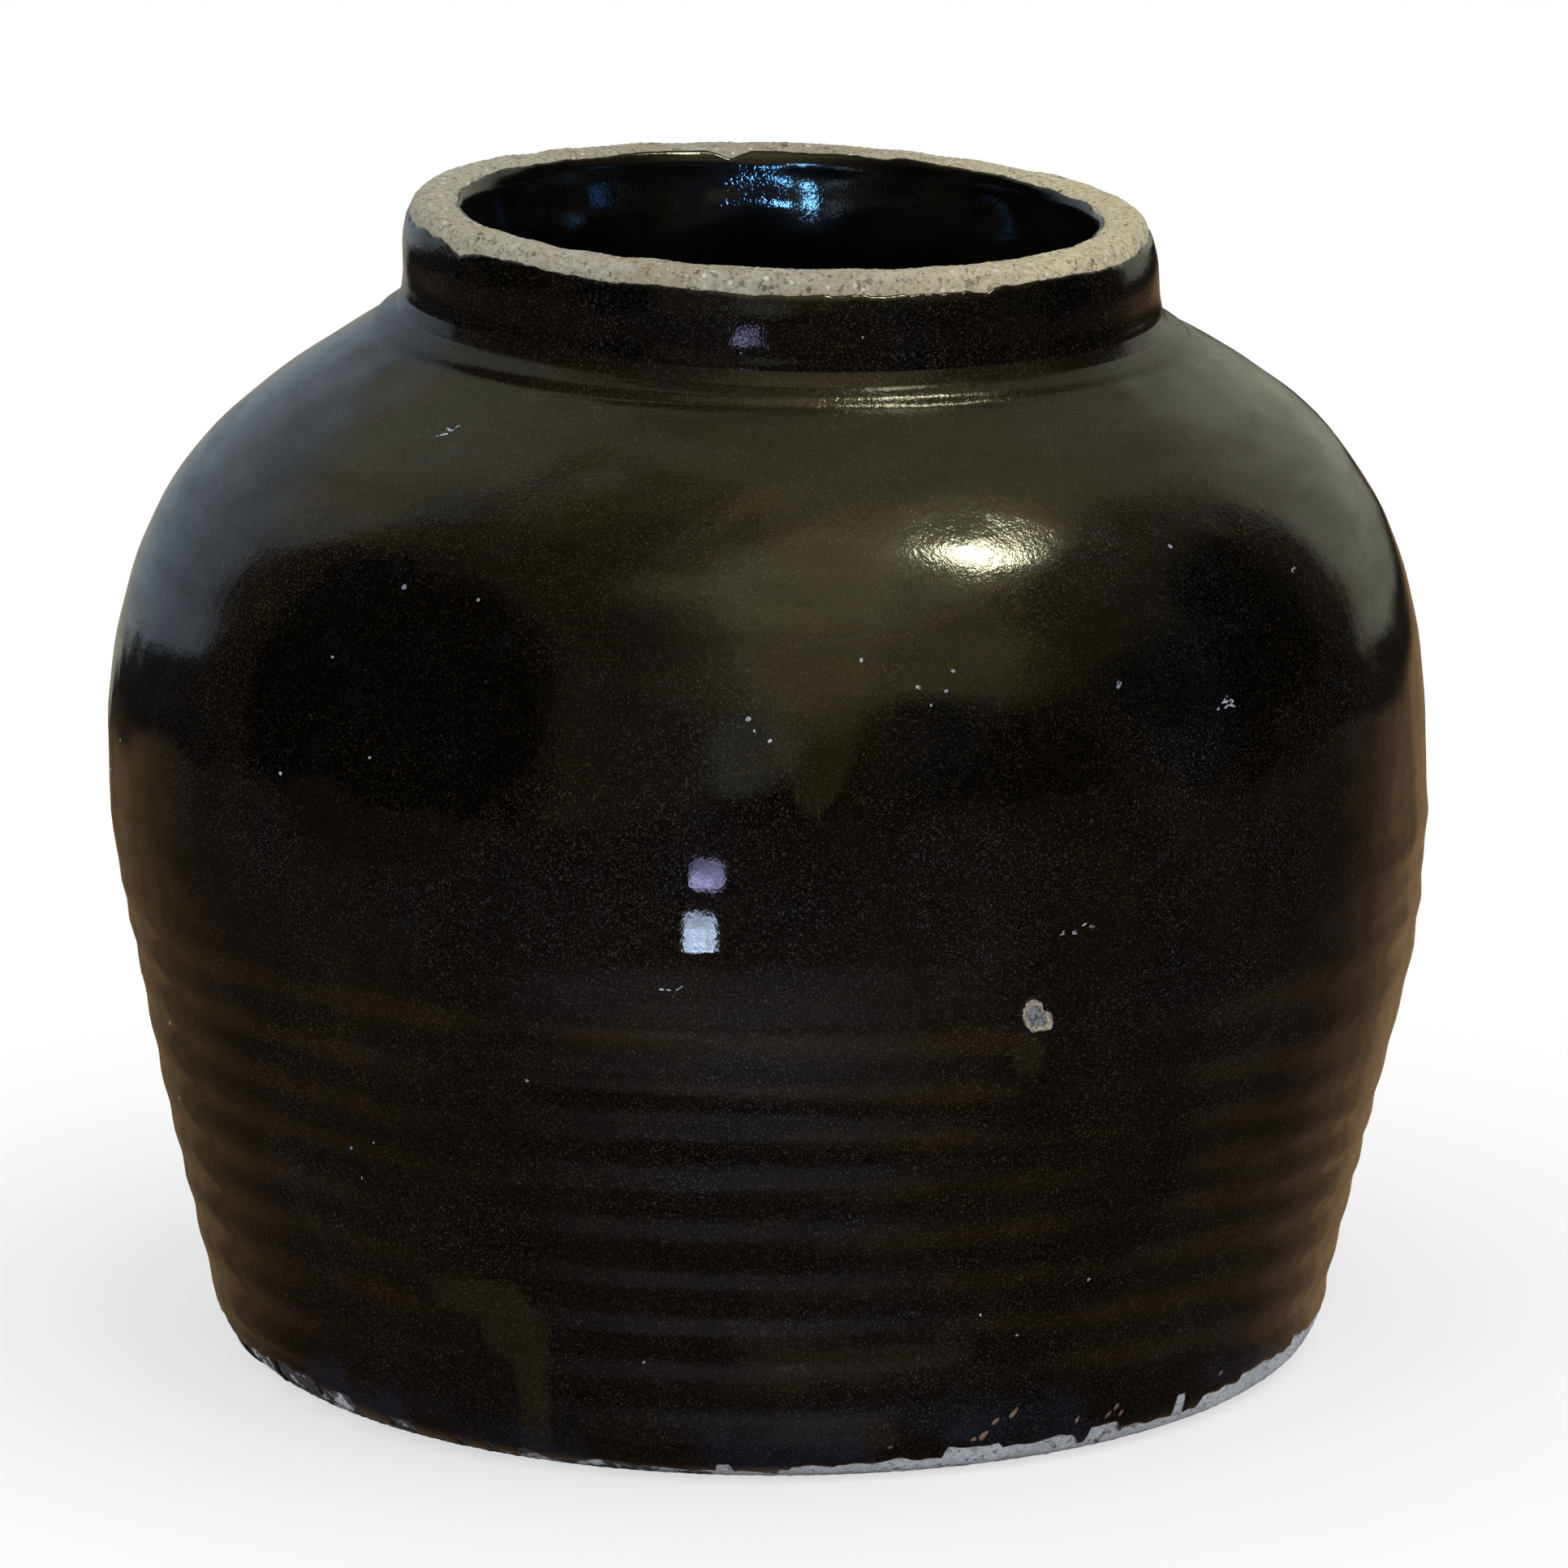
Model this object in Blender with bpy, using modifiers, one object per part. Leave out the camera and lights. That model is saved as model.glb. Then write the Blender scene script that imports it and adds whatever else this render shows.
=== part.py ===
"""Glazed stoneware storage jar, thrown on the wheel in sections.

A base disc, a lower wall, an upper wall and a neck collar are luted together with clay slip,
then coated with glaze inside and out. The rim and the foot's edge stay bare clay.

Metres, +Z up. The origin is the centre of the resting face, and +Z is the jar's axis.
Run with: blender --background --python part.py
"""

import math

import bpy
from mathutils import Vector
from mathutils.geometry import interpolate_bezier

MM = 0.001

# Driving dimensions of the clay body.
HEIGHT = 260.2 * MM
BELLY_RADIUS = 148.4 * MM
BELLY_HEIGHT = 130.0 * MM
RESTING_FACE_RADIUS = 115.0 * MM
FOOT_RADIUS = 126.7 * MM
FOOT_HEIGHT = 12.0 * MM
COLLAR_FOOT_RADIUS = 84.4 * MM
COLLAR_FOOT_HEIGHT = 236.4 * MM
RIM_OUTER_RADIUS = 82.3 * MM
RIM_INNER_RADIUS = 71.8 * MM

# How full the curves are: the reach of each curve's handle from its end, as (radius, height).
LOWER_WALL_RISE = Vector((14.8 * MM, 66.0 * MM))
LOWER_BELLY_REACH = 26.0 * MM
UPPER_BELLY_REACH = 73.5 * MM
SHOULDER_REACH = Vector((36.6 * MM, -23.9 * MM))

# Rounded edges of the rim, and the hollow corners inside.
RIM_OUTER_ROUND = 3.0 * MM
RIM_INNER_ROUND = 3.5 * MM
FLOOR_EDGE_RADIUS = 106.0 * MM
FLOOR_CORNER_HEIGHT = 28.0 * MM
FLOOR_CORNER_REACH = 6.0 * MM
NECK_CORNER_HEIGHT = 226.0 * MM
NECK_STRAIGHT_BOTTOM = 233.0 * MM
NECK_CORNER_REACH = 4.5 * MM

WALL = 9.0 * MM
OUTER_GLAZE = 0.9 * MM
INNER_GLAZE = 0.8 * MM
GAP = 0.3 * MM

# Where the glaze stops, and how thick the slip in each joint is.
FOOT_GLAZE_LINE = 7.0 * MM
RIM_GLAZE_LINE = 256.8 * MM
SLIP = 1.0 * MM
SLIP_INSET = 1.6 * MM

SEGMENTS = 40
CORNER_STEPS = 4
LOWER_STEPS = 6
SHOULDER_STEPS = 10
ROUND_STEPS = 3
MERGE_DISTANCE = 0.00001
SHARP_ANGLE = math.radians(35)


def curve(start, start_handle, end_handle, end, steps):
    """Points along one cubic Bezier span in the (radius, height) plane, ends included."""
    return [point.xy for point in interpolate_bezier(start, start_handle, end_handle, end, steps + 1)]


def arc(centre, radius, start_degrees, end_degrees, steps):
    """Points on a circle in the (radius, height) plane, ends included."""
    points = []
    for step in range(steps + 1):
        angle = math.radians(start_degrees + (end_degrees - start_degrees) * step / steps)
        points.append(centre + radius * Vector((math.cos(angle), math.sin(angle))))
    return points


def offset(line, distance):
    """The line moved sideways, to the left of its direction of travel, keeping its segments parallel."""
    normals = []
    for start, end in zip(line, line[1:]):
        along = (end - start).normalized()
        normals.append(Vector((-along.y, along.x)))
    moved = [line[0] + distance * normals[0]]
    for point, before, after in zip(line[1:-1], normals, normals[1:]):
        moved.append(point + distance * (before + after) / (1 + before.dot(after)))
    moved.append(line[-1] + distance * normals[-1])
    return moved


def between(line, low, high):
    """The stretch of a rising line between two heights, with its ends cut square."""
    kept = []
    for start, end in zip(line, line[1:]):
        for height in (low, high):
            if min(start.y, end.y) <= height < max(start.y, end.y):
                share = (height - start.y) / (end.y - start.y)
                kept.append(start.lerp(end, share))
        if low < end.y < high:
            kept.append(end)
    return kept


def outside_line():
    """Outside of the clay, from the resting face up to the rim's rounded edge."""
    foot_span = Vector((FOOT_RADIUS - RESTING_FACE_RADIUS, FOOT_HEIGHT))
    corner = [
        Vector((RESTING_FACE_RADIUS + foot_span.x * point.x, foot_span.y * point.y))
        for point in arc(Vector((0.0, 1.0)), 1.0, -90, 0, CORNER_STEPS)
    ]
    foot = corner[-1]
    belly = Vector((BELLY_RADIUS, BELLY_HEIGHT))
    collar_foot = Vector((COLLAR_FOOT_RADIUS, COLLAR_FOOT_HEIGHT))
    lower = curve(foot, foot + LOWER_WALL_RISE, belly - Vector((0, LOWER_BELLY_REACH)), belly, LOWER_STEPS)
    upper = curve(
        belly, belly + Vector((0, UPPER_BELLY_REACH)), collar_foot + SHOULDER_REACH, collar_foot, SHOULDER_STEPS
    )
    return corner + lower[1:] + upper[1:] + [Vector((RIM_OUTER_RADIUS, HEIGHT - RIM_OUTER_ROUND))]


def inside_line():
    """Inside of the clay, from the floor's edge up to the rim's inner rounded edge."""
    wall = between(offset(outside_line(), WALL), FLOOR_CORNER_HEIGHT, NECK_CORNER_HEIGHT)
    floor_edge = Vector((FLOOR_EDGE_RADIUS, FOOT_HEIGHT))
    floor_handle = floor_edge + Vector((FLOOR_CORNER_REACH, FLOOR_CORNER_REACH / 4))
    wall_handle = wall[0] - FLOOR_CORNER_REACH * (wall[1] - wall[0]).normalized()
    floor_corner = curve(floor_edge, floor_handle, wall_handle, wall[0], CORNER_STEPS)
    neck_bottom = Vector((RIM_INNER_RADIUS, NECK_STRAIGHT_BOTTOM))
    shoulder_handle = wall[-1] + NECK_CORNER_REACH * (wall[-1] - wall[-2]).normalized()
    neck_handle = neck_bottom - Vector((0, NECK_CORNER_REACH))
    neck_corner = curve(wall[-1], shoulder_handle, neck_handle, neck_bottom, CORNER_STEPS)
    return floor_corner + wall[1:] + neck_corner[1:] + [Vector((RIM_INNER_RADIUS, HEIGHT - RIM_INNER_ROUND))]


def rim_line():
    """Top of the rim, from its outer rounded edge over to its inner one."""
    outer_centre = Vector((RIM_OUTER_RADIUS - RIM_OUTER_ROUND, HEIGHT - RIM_OUTER_ROUND))
    inner_centre = Vector((RIM_INNER_RADIUS + RIM_INNER_ROUND, HEIGHT - RIM_INNER_ROUND))
    outer = arc(outer_centre, RIM_OUTER_ROUND, 0, 90, ROUND_STEPS)
    return outer + arc(inner_centre, RIM_INNER_ROUND, 90, 180, ROUND_STEPS)


def material(name, colour, roughness):
    made = bpy.data.materials.new(name)
    made.use_nodes = True
    shader = made.node_tree.nodes["Principled BSDF"]
    shader.inputs["Base Color"].default_value = (*colour, 1.0)
    shader.inputs["Roughness"].default_value = roughness
    shader.inputs["Metallic"].default_value = 0.0
    return made


def turned(name, profile, closed, finish, parent, collection):
    """A turned piece: its profile runs down the outer side, and a Screw modifier turns it about +Z."""
    mesh = bpy.data.meshes.new(name)
    edges = [(i, i + 1) for i in range(len(profile) - 1)]
    if closed:
        edges.append((len(profile) - 1, 0))
    mesh.from_pydata([(point.x, 0.0, point.y) for point in profile], edges, [])
    piece = bpy.data.objects.new(name, mesh)
    collection.objects.link(piece)
    piece.parent = parent
    screw = piece.modifiers.new("Turn", "SCREW")
    screw.axis = "Z"
    screw.angle = math.tau
    screw.steps = SEGMENTS
    screw.render_steps = SEGMENTS
    screw.use_merge_vertices = True
    screw.merge_threshold = MERGE_DISTANCE
    evaluated = piece.evaluated_get(bpy.context.evaluated_depsgraph_get())
    solid = bpy.data.meshes.new_from_object(evaluated)
    solid.name = name
    piece.modifiers.clear()
    piece.data = solid
    bpy.data.meshes.remove(mesh)
    solid.shade_smooth()
    solid.set_sharp_from_angle(angle=SHARP_ANGLE)
    solid.materials.append(finish)
    return piece


def down(line):
    return list(reversed(line))


def ring(outer, inner):
    """Closed section of a ring from its rising outer and inner lines."""
    return down(outer) + inner


def slip_ring(bottom):
    """Section of the slip layer that fills a joint, set back from both faces of the wall."""
    level = bottom + SLIP / 2
    outer_radius = between(outside_line(), level, HEIGHT)[0].x - SLIP_INSET
    inner_radius = between(inside_line(), level, HEIGHT)[0].x + SLIP_INSET
    return [
        Vector((outer_radius, bottom + SLIP)),
        Vector((outer_radius, bottom)),
        Vector((inner_radius, bottom)),
        Vector((inner_radius, bottom + SLIP)),
    ]


def build():
    for old in list(bpy.data.objects):
        bpy.data.objects.remove(old)
    collection = bpy.data.collections.new("glazed_storage_jar")
    bpy.context.scene.collection.children.link(collection)
    axis = bpy.data.objects.new("jar_axis", None)
    collection.objects.link(axis)

    bare_clay = (0.42, 0.33, 0.24)
    foot_clay = (0.36, 0.33, 0.31)
    slip_clay = (0.33, 0.27, 0.21)
    outside = outside_line()
    inside = inside_line()
    base_joint = FOOT_HEIGHT + GAP
    belly_joint = BELLY_HEIGHT - SLIP / 2
    collar_joint = COLLAR_FOOT_HEIGHT - GAP - SLIP

    def add(name, profile, closed, colour, roughness):
        turned(name, profile, closed, material(name, colour, roughness), axis, collection)

    disc_edge = between(outside, 0.0, FOOT_HEIGHT)
    disc = [Vector((0, FOOT_HEIGHT))] + down(disc_edge) + [Vector((0, 0))]
    add("base_disc", disc, False, foot_clay, 0.85)
    add("base_slip_joint", slip_ring(base_joint), True, slip_clay, 0.9)

    low, high = base_joint + SLIP + GAP, belly_joint - GAP
    add("lower_wall", ring(between(outside, low, high), between(inside, low, high)), True, bare_clay, 0.85)
    add("belly_slip_joint", slip_ring(belly_joint), True, slip_clay, 0.9)

    low, high = belly_joint + SLIP + GAP, collar_joint - GAP
    add("upper_wall", ring(between(outside, low, high), between(inside, low, high)), True, bare_clay, 0.85)
    add("collar_slip_joint", slip_ring(collar_joint), True, slip_clay, 0.9)

    low = collar_joint + SLIP + GAP
    collar_outer = between(outside, low, HEIGHT) + rim_line()[1:-1]
    add("neck_collar", ring(collar_outer, between(inside, low, HEIGHT)), True, bare_clay, 0.8)

    coat_inner = between(offset(outside, -GAP), FOOT_GLAZE_LINE, RIM_GLAZE_LINE)
    coat_outer = between(offset(outside, -GAP - OUTER_GLAZE), FOOT_GLAZE_LINE, RIM_GLAZE_LINE)
    add("outer_glaze", ring(coat_outer, coat_inner), True, (0.012, 0.009, 0.006), 0.12)

    hollow = [Vector((0, FOOT_HEIGHT))] + inside
    lining = offset(hollow, GAP + INNER_GLAZE) + down(offset(hollow, GAP))
    add("inner_glaze", lining, False, (0.009, 0.008, 0.007), 0.1)


build()
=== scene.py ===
"""Looks of the glazed stoneware storage jar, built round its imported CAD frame.

Every visible piece is a turned section whose surface is then worked: throwing rings, soft dents,
the step round the collar, an uneven rim and the ragged edges where the glaze stops.
Azimuth 0 faces the camera and grows to the right; heights are above the resting face.
"""

import math

import bpy
import numpy as np
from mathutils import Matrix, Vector


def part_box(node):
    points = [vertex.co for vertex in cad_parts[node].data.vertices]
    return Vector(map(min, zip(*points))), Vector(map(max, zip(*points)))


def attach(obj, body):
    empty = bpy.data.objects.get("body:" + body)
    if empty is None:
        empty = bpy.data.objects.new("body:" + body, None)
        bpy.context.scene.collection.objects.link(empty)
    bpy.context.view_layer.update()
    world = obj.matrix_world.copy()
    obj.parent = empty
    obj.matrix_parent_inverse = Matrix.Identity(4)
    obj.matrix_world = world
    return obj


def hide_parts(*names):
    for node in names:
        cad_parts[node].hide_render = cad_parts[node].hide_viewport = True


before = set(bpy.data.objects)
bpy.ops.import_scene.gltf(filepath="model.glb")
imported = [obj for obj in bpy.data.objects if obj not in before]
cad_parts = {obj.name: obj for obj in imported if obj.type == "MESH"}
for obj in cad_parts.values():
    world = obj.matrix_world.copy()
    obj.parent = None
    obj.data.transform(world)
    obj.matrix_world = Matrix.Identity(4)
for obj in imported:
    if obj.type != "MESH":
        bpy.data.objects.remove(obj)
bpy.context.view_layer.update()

MM = 0.001
TAU = math.tau

# Sizes read from the frame.
RIM_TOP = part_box("neck_collar")[1].z
COLLAR_FOOT = np.array((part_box("neck_collar")[1].x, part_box("neck_collar")[0].z))
BELLY = np.array((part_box("lower_wall")[1].x, (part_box("lower_wall")[1].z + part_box("upper_wall")[0].z) / 2))
FOOT = np.array((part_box("base_disc")[1].x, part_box("base_disc")[1].z))
RIM_GLAZE_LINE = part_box("outer_glaze")[1].z

# The clay's section: how full its curves are, its rounded edges and its inside.
RESTING_RADIUS = 115.0 * MM
RIM_RADII = (82.3 * MM, 71.8 * MM)
RIM_ROUNDS = (3.0 * MM, 3.5 * MM)
LOWER_RISE = np.array((14.8, 66.0)) * MM
LOWER_BELLY_REACH = 26.0 * MM
UPPER_BELLY_REACH = 73.5 * MM
SHOULDER_REACH = np.array((36.6, -23.9)) * MM
WALL = 9.0 * MM
COLLAR_FILLET = 3.5 * MM
INNER_SPAN = (28.0 * MM, 226.0 * MM)
INNER_LEAST_RADIUS = 79.0 * MM
BORE_FOOT = 233.0 * MM
FLOOR_RADIUS = 104.0 * MM

# Build-up over the CAD clay line, so that clay and coat meet without a gap.
CLAY_LIFT = 0.6 * MM
COAT = 0.55 * MM
COAT_EDGE = 1.0 * MM
TUCK = 0.12 * MM

# Points round the jar in a ring of the coats, of the bare clay and of the hidden clay.
COAT_COLUMNS = 576
CLAY_COLUMNS = 720
HIDDEN_COLUMNS = 160

SHARP_EDGE = math.radians(60)


# ---------------------------------------------------------------- shape of the section


def bezier(a, b, c, d, count):
    t = np.linspace(0, 1, count)[:, None]
    return (1 - t) ** 3 * a + 3 * (1 - t) ** 2 * t * b + 3 * (1 - t) * t**2 * c + t**3 * d


def arc(centre, radii, start, end, count):
    angle = np.radians(np.linspace(start, end, count))[:, None]
    return np.array(centre) + np.array(radii) * np.hstack((np.cos(angle), np.sin(angle)))


def straight(a, b, count=60):
    return np.array(a) + np.linspace(0, 1, count)[:, None] * (np.array(b) - np.array(a))


def normals_of(line):
    along = np.gradient(line, axis=0)
    along /= np.linalg.norm(along, axis=1)[:, None] + 1e-12
    return np.stack((along[:, 1], -along[:, 0]), 1)


def fillet(before, after, reach):
    """Joins two runs of points that meet at a corner with a soft bend."""
    corner = before[-1]
    before = before[np.linalg.norm(before - corner, axis=1) > reach]
    after = after[np.linalg.norm(after - corner, axis=1) > reach]
    start, end = before[-1], after[0]
    bend = bezier(start, start + (corner - start) * 2 / 3, end + (corner - end) * 2 / 3, end, 40)
    return np.vstack((before[:-1], bend, after[1:]))


class Section:
    """The clay's half section as one line: underside, outside, rim, inside, floor."""

    def __init__(self):
        span = FOOT - (RESTING_RADIUS, 0)
        corner = arc((RESTING_RADIUS, FOOT[1]), span, -90, 0, 60)
        lower = bezier(FOOT, FOOT + LOWER_RISE, BELLY - (0, LOWER_BELLY_REACH), BELLY, 400)
        upper = bezier(BELLY, BELLY + (0, UPPER_BELLY_REACH), COLLAR_FOOT + SHOULDER_REACH, COLLAR_FOOT, 500)
        outer_edge = np.array((RIM_RADII[0], RIM_TOP - RIM_ROUNDS[0]))
        collar = straight(COLLAR_FOOT, outer_edge, 100)
        outside = np.vstack((corner[:-1], lower[:-1], fillet(upper, collar, COLLAR_FILLET)))
        rim_outer = arc(outer_edge - (RIM_ROUNDS[0], 0), RIM_ROUNDS[0], 0, 90, 30)
        rim_inner = arc((RIM_RADII[1] + RIM_ROUNDS[1], RIM_TOP - RIM_ROUNDS[1]), RIM_ROUNDS[1], 90, 180, 30)
        wall = outside - WALL * normals_of(outside)
        kept = (wall[:, 1] > INNER_SPAN[0]) & (wall[:, 1] < INNER_SPAN[1]) & (wall[:, 0] > INNER_LEAST_RADIUS)
        wall = wall[kept][::-1]
        neck_low = np.array((RIM_RADII[1], BORE_FOOT))
        neck = straight(rim_inner[-1], neck_low, 60)
        under = bezier(neck_low, neck_low - (0, 5 * MM), wall[0] + (-4 * MM, 3 * MM), wall[0], 40)
        floor_edge = np.array((FLOOR_RADIUS, FOOT[1]))
        inner_corner = bezier(wall[-1], wall[-1] - (2 * MM, 7 * MM), floor_edge + (7 * MM, 0), floor_edge, 40)
        self.points = np.vstack((
            straight((0, 0), (RESTING_RADIUS, 0), 80)[:-1],
            outside[:-1],
            rim_outer[:-1],
            straight(rim_outer[-1], rim_inner[0], 20)[:-1],
            rim_inner[:-1],
            neck[:-1],
            under[:-1],
            wall[:-1],
            inner_corner[:-1],
            straight(floor_edge, (0, FOOT[1]), 60),
        ))
        steps = np.linalg.norm(np.diff(self.points, axis=0), axis=1)
        self.arc = np.concatenate(((0,), np.cumsum(steps)))
        self.normals = normals_of(self.points)
        self.top = self.arc[np.argmax(self.points[:, 1])] + 1 * MM
        self.foot = RESTING_RADIUS
        self.length = self.arc[-1]

    def at(self, s):
        point = [np.interp(s, self.arc, self.points[:, k]) for k in (0, 1)]
        normal = [np.interp(s, self.arc, self.normals[:, k]) for k in (0, 1)]
        return point, normal

    def outside_at(self, height):
        """Arc position of a height on the outside."""
        part = (self.arc >= self.foot) & (self.arc <= self.top)
        return np.interp(height, self.points[part, 1], self.arc[part])

    def inside_at(self, height):
        """Arc position of a height on the inside, down to the floor's corner."""
        part = self.arc > self.top
        heights = self.points[part, 1][::-1]
        keep = np.concatenate(((True,), np.diff(heights) > 1e-7))
        return np.interp(height, heights[keep], self.arc[part][::-1][keep])


SECTION = Section()


# ---------------------------------------------------------------- hand-worked relief


def smooth(low, high, x):
    t = np.clip((x - low) / (high - low), 0, 1)
    return t * t * (3 - 2 * t)


def bump(x, centre, width):
    return np.exp(-(((x - centre) / width) ** 2))


def turn(azimuth, centre):
    """Signed difference of two azimuths in degrees, within half a turn."""
    return (azimuth - centre + 180) % 360 - 180


class Waves:
    """A smooth random field over azimuth and arc length, with unit spread, that closes round the jar."""

    def __init__(self, seed, count, around, along, fall=0.0):
        draw = np.random.default_rng(seed)
        low, high = around
        self.n = draw.integers(low, high + 1, count)
        length = np.exp(draw.uniform(np.log(along[0]), np.log(along[1]), count))
        self.k = TAU / length * draw.choice((-1, 1), count)
        self.phase = draw.uniform(0, TAU, count)
        size = (1.0 + self.n) ** (-fall)
        self.size = size / math.sqrt((size**2).sum() / 2)

    def __call__(self, azimuth, s=0.0):
        angle = np.radians(azimuth)
        total = 0.0
        for n, k, phase, size in zip(self.n, self.k, self.phase, self.size):
            total = total + size * np.cos(n * angle + k * s + phase)
        return total


DENTS = Waves(11, 26, (1, 6), (80 * MM, 220 * MM), 0.5)
PATS = Waves(12, 60, (5, 34), (13 * MM, 50 * MM), 0.3)
RING_WANDER = Waves(13, 10, (1, 4), (60 * MM, 200 * MM))
RING_DEPTH = Waves(14, 12, (1, 6), (30 * MM, 120 * MM))
INNER_DENTS = Waves(15, 30, (2, 16), (12 * MM, 50 * MM), 0.3)
STEP_WANDER = Waves(16, 8, (1, 5), (1.0, 2.0))
STEP_CRISP = Waves(20, 6, (2, 6), (1.0, 2.0))
STEP_HEIGHT = Waves(17, 8, (1, 6), (1.0, 2.0))
RIM_SWELL = Waves(18, 24, (2, 40), (8 * MM, 40 * MM), 0.6)
RIM_GRAIN = Waves(19, 160, (60, 320), (1.6 * MM, 5 * MM))

RING_PITCH = 11.8 * MM
RING_AMPLITUDE = 0.23 * MM
RING_SPAN = (14 * MM, 116 * MM)
RING_DRIFT = 1.6 * MM
INNER_RING_PITCH = 10.5 * MM
SEAM_HEIGHT = 121.5 * MM
COLLAR_ARC = SECTION.outside_at(COLLAR_FOOT[1])
RIM_ARC = SECTION.outside_at(RIM_TOP - RIM_ROUNDS[0])
COLLAR_BLEND = 14 * MM
SHELF = 6.5 * MM
RIM_SWELL_SIZE = 0.14 * MM


def ring_phase(azimuth, s, z):
    """Phase of the throwing spiral at a place on the outside."""
    return TAU * (z + RING_DRIFT * RING_WANDER(azimuth, s)) / RING_PITCH + np.radians(azimuth)


def throwing_rings(azimuth, s, z):
    """Finger rings below the belly: a soft wave with a sharper crest."""
    phase = ring_phase(azimuth, s, z)
    finger = 0.65 * np.cos(phase) + 0.35 * (1 - 2 * np.abs(np.sin(phase / 2)))
    low, high = RING_SPAN
    window = smooth(low - 6 * MM, low, z) * (1 - smooth(high - 10 * MM, high, z))
    return RING_AMPLITUDE * finger * window * (1 + 0.25 * RING_DEPTH(azimuth, s))


def wall_dents(azimuth, s, z):
    """Soft dents and pats, stronger above the belly and calm in the middle of the front."""
    upper = smooth(90 * MM, 135 * MM, z)
    strong = upper * (1 - bump(turn(azimuth, -4), 0, 42) * bump(z, 138 * MM, 30 * MM))
    return MM * ((0.10 + 0.34 * strong) * DENTS(azimuth, s) + 0.065 * PATS(azimuth, s) * strong)


def belly_seam(azimuth, z):
    """The swelling over the belly joint, stronger on the right."""
    side = 0.35 + 0.65 * bump(turn(azimuth, 78), 0, 40)
    height = SEAM_HEIGHT + 1.2 * MM * RING_WANDER(azimuth, 0)
    return 0.55 * MM * side * bump(z, height, 3.2 * MM)


def front_groove(azimuth, z):
    """A line scored across the front, with a low ridge under it."""
    across = turn(azimuth, 0)
    window = smooth(-30, -18, across) * (1 - smooth(4, 18, across))
    return window * MM * (0.16 * bump(z, 102.0 * MM, 1.2 * MM) - 0.30 * bump(z, 104.3 * MM, 0.9 * MM))


def collar_relief(azimuth, s):
    """The shelf and gutter below the collar, the corner and bead at its foot, and its fuller waist."""
    below = COLLAR_ARC - s
    step_at = SHELF + 0.8 * MM * STEP_WANDER(azimuth)
    step = 1 - smooth(step_at - 1.2 * MM, step_at + 1.6 * MM, below)
    crisp = 0.30 + 0.70 * np.clip(0.5 + 0.6 * STEP_CRISP(azimuth) - bump(turn(azimuth, 6), 0, 16), 0, 1)
    shelf = (0.55 + 0.12 * STEP_HEIGHT(azimuth)) * step * smooth(-2.0 * MM, 1.0 * MM, below)
    gutter = -0.34 * crisp * bump(below, step_at + 1.6 * MM, 1.5 * MM)
    corner = -0.45 * bump(below, 0.2 * MM, 1.1 * MM)
    bead = 0.50 * bump(below, -3.8 * MM, 2.4 * MM)
    up = (s - COLLAR_ARC) / (RIM_ARC - COLLAR_ARC)
    waist = 0.95 * smooth(0.12, 0.68, up) * (1 - smooth(0.68, 1.08, up))
    flare = 0.18 * bump(s, RIM_ARC - 1.5 * MM, 3.0 * MM)
    bands = 0.03 * np.cos(TAU * (s - COLLAR_ARC) / (8.5 * MM) + 0.6)
    on_collar = smooth(COLLAR_ARC - COLLAR_BLEND, COLLAR_ARC, s) * (bands - 0.20 + 0.08 * DENTS(azimuth, s))
    return MM * (shelf + gutter + corner + bead + waist + flare + on_collar)


def outer_relief(azimuth, s):
    """Height of the worked surface over the turned one, outside."""
    (_, z), _ = SECTION.at(s)
    body = 1 - smooth(COLLAR_ARC - COLLAR_BLEND, COLLAR_ARC, s)
    soft = throwing_rings(azimuth, s, z) + wall_dents(azimuth, s, z) * body + belly_seam(azimuth, z)
    return soft * smooth(0, 10 * MM, z) + front_groove(azimuth, z) + collar_relief(azimuth, s)


def inner_relief(azimuth, s):
    """Spiral rings and dents inside, with a roll under the neck."""
    depth = s - SECTION.top
    dents = INNER_DENTS(azimuth, s)
    phase = TAU * depth / INNER_RING_PITCH - np.radians(azimuth) + 0.5 * dents
    end = SECTION.length
    fade = smooth(4 * MM, 9 * MM, depth) * (1 - smooth(end - 140 * MM, end - 90 * MM, s))
    roll = 2.1 * bump(depth, 22 * MM + 0.8 * MM * INNER_DENTS(azimuth, 0), 9 * MM)
    rings = (0.05 + 0.15 * smooth(20 * MM, 40 * MM, depth)) * np.cos(phase)
    return fade * MM * (rings + 0.10 * dents + roll)


def relief(azimuth, s):
    """The whole relief, which fades from the outside over the rim to the inside."""
    foot, top = SECTION.foot, SECTION.top
    on_rim = smooth(RIM_ARC - 2 * MM, RIM_ARC, s) * (1 - smooth(top + 5 * MM, top + 9 * MM, s))
    outside = smooth(foot, foot + 4 * MM, s) * (1 - smooth(RIM_ARC, top, s))
    inside = smooth(top + 2 * MM, top + 6 * MM, s)
    rim = on_rim * RIM_SWELL_SIZE * RIM_SWELL(azimuth, s)
    return outside * outer_relief(azimuth, s) + rim + inside * inner_relief(azimuth, s)


# The jar leans a little: its centre line wanders sideways and the rim tips down to the right.
LEAN_HEIGHTS = np.array((0, 12, 55, 92, 150, 205, 230, 262)) * MM
LEAN_OFFSETS = np.array((-0.4, -1.4, -1.2, 0.1, -2.3, -1.6, 1.8, 0.7)) * MM
LEAN_GRID = np.linspace(0, 0.27, 271)
LEAN_BLUR = 25
RIM_TILT = 0.034


def centre_line():
    """Sideways place of the jar's centre at each height of the grid, blurred."""
    offsets = np.interp(LEAN_GRID, LEAN_HEIGHTS, LEAN_OFFSETS)
    kernel = np.hanning(LEAN_BLUR)
    padded = np.pad(offsets, LEAN_BLUR // 2, mode="edge")
    return np.convolve(padded, kernel / kernel.sum(), mode="valid")


CENTRE_LINE = centre_line()


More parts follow.
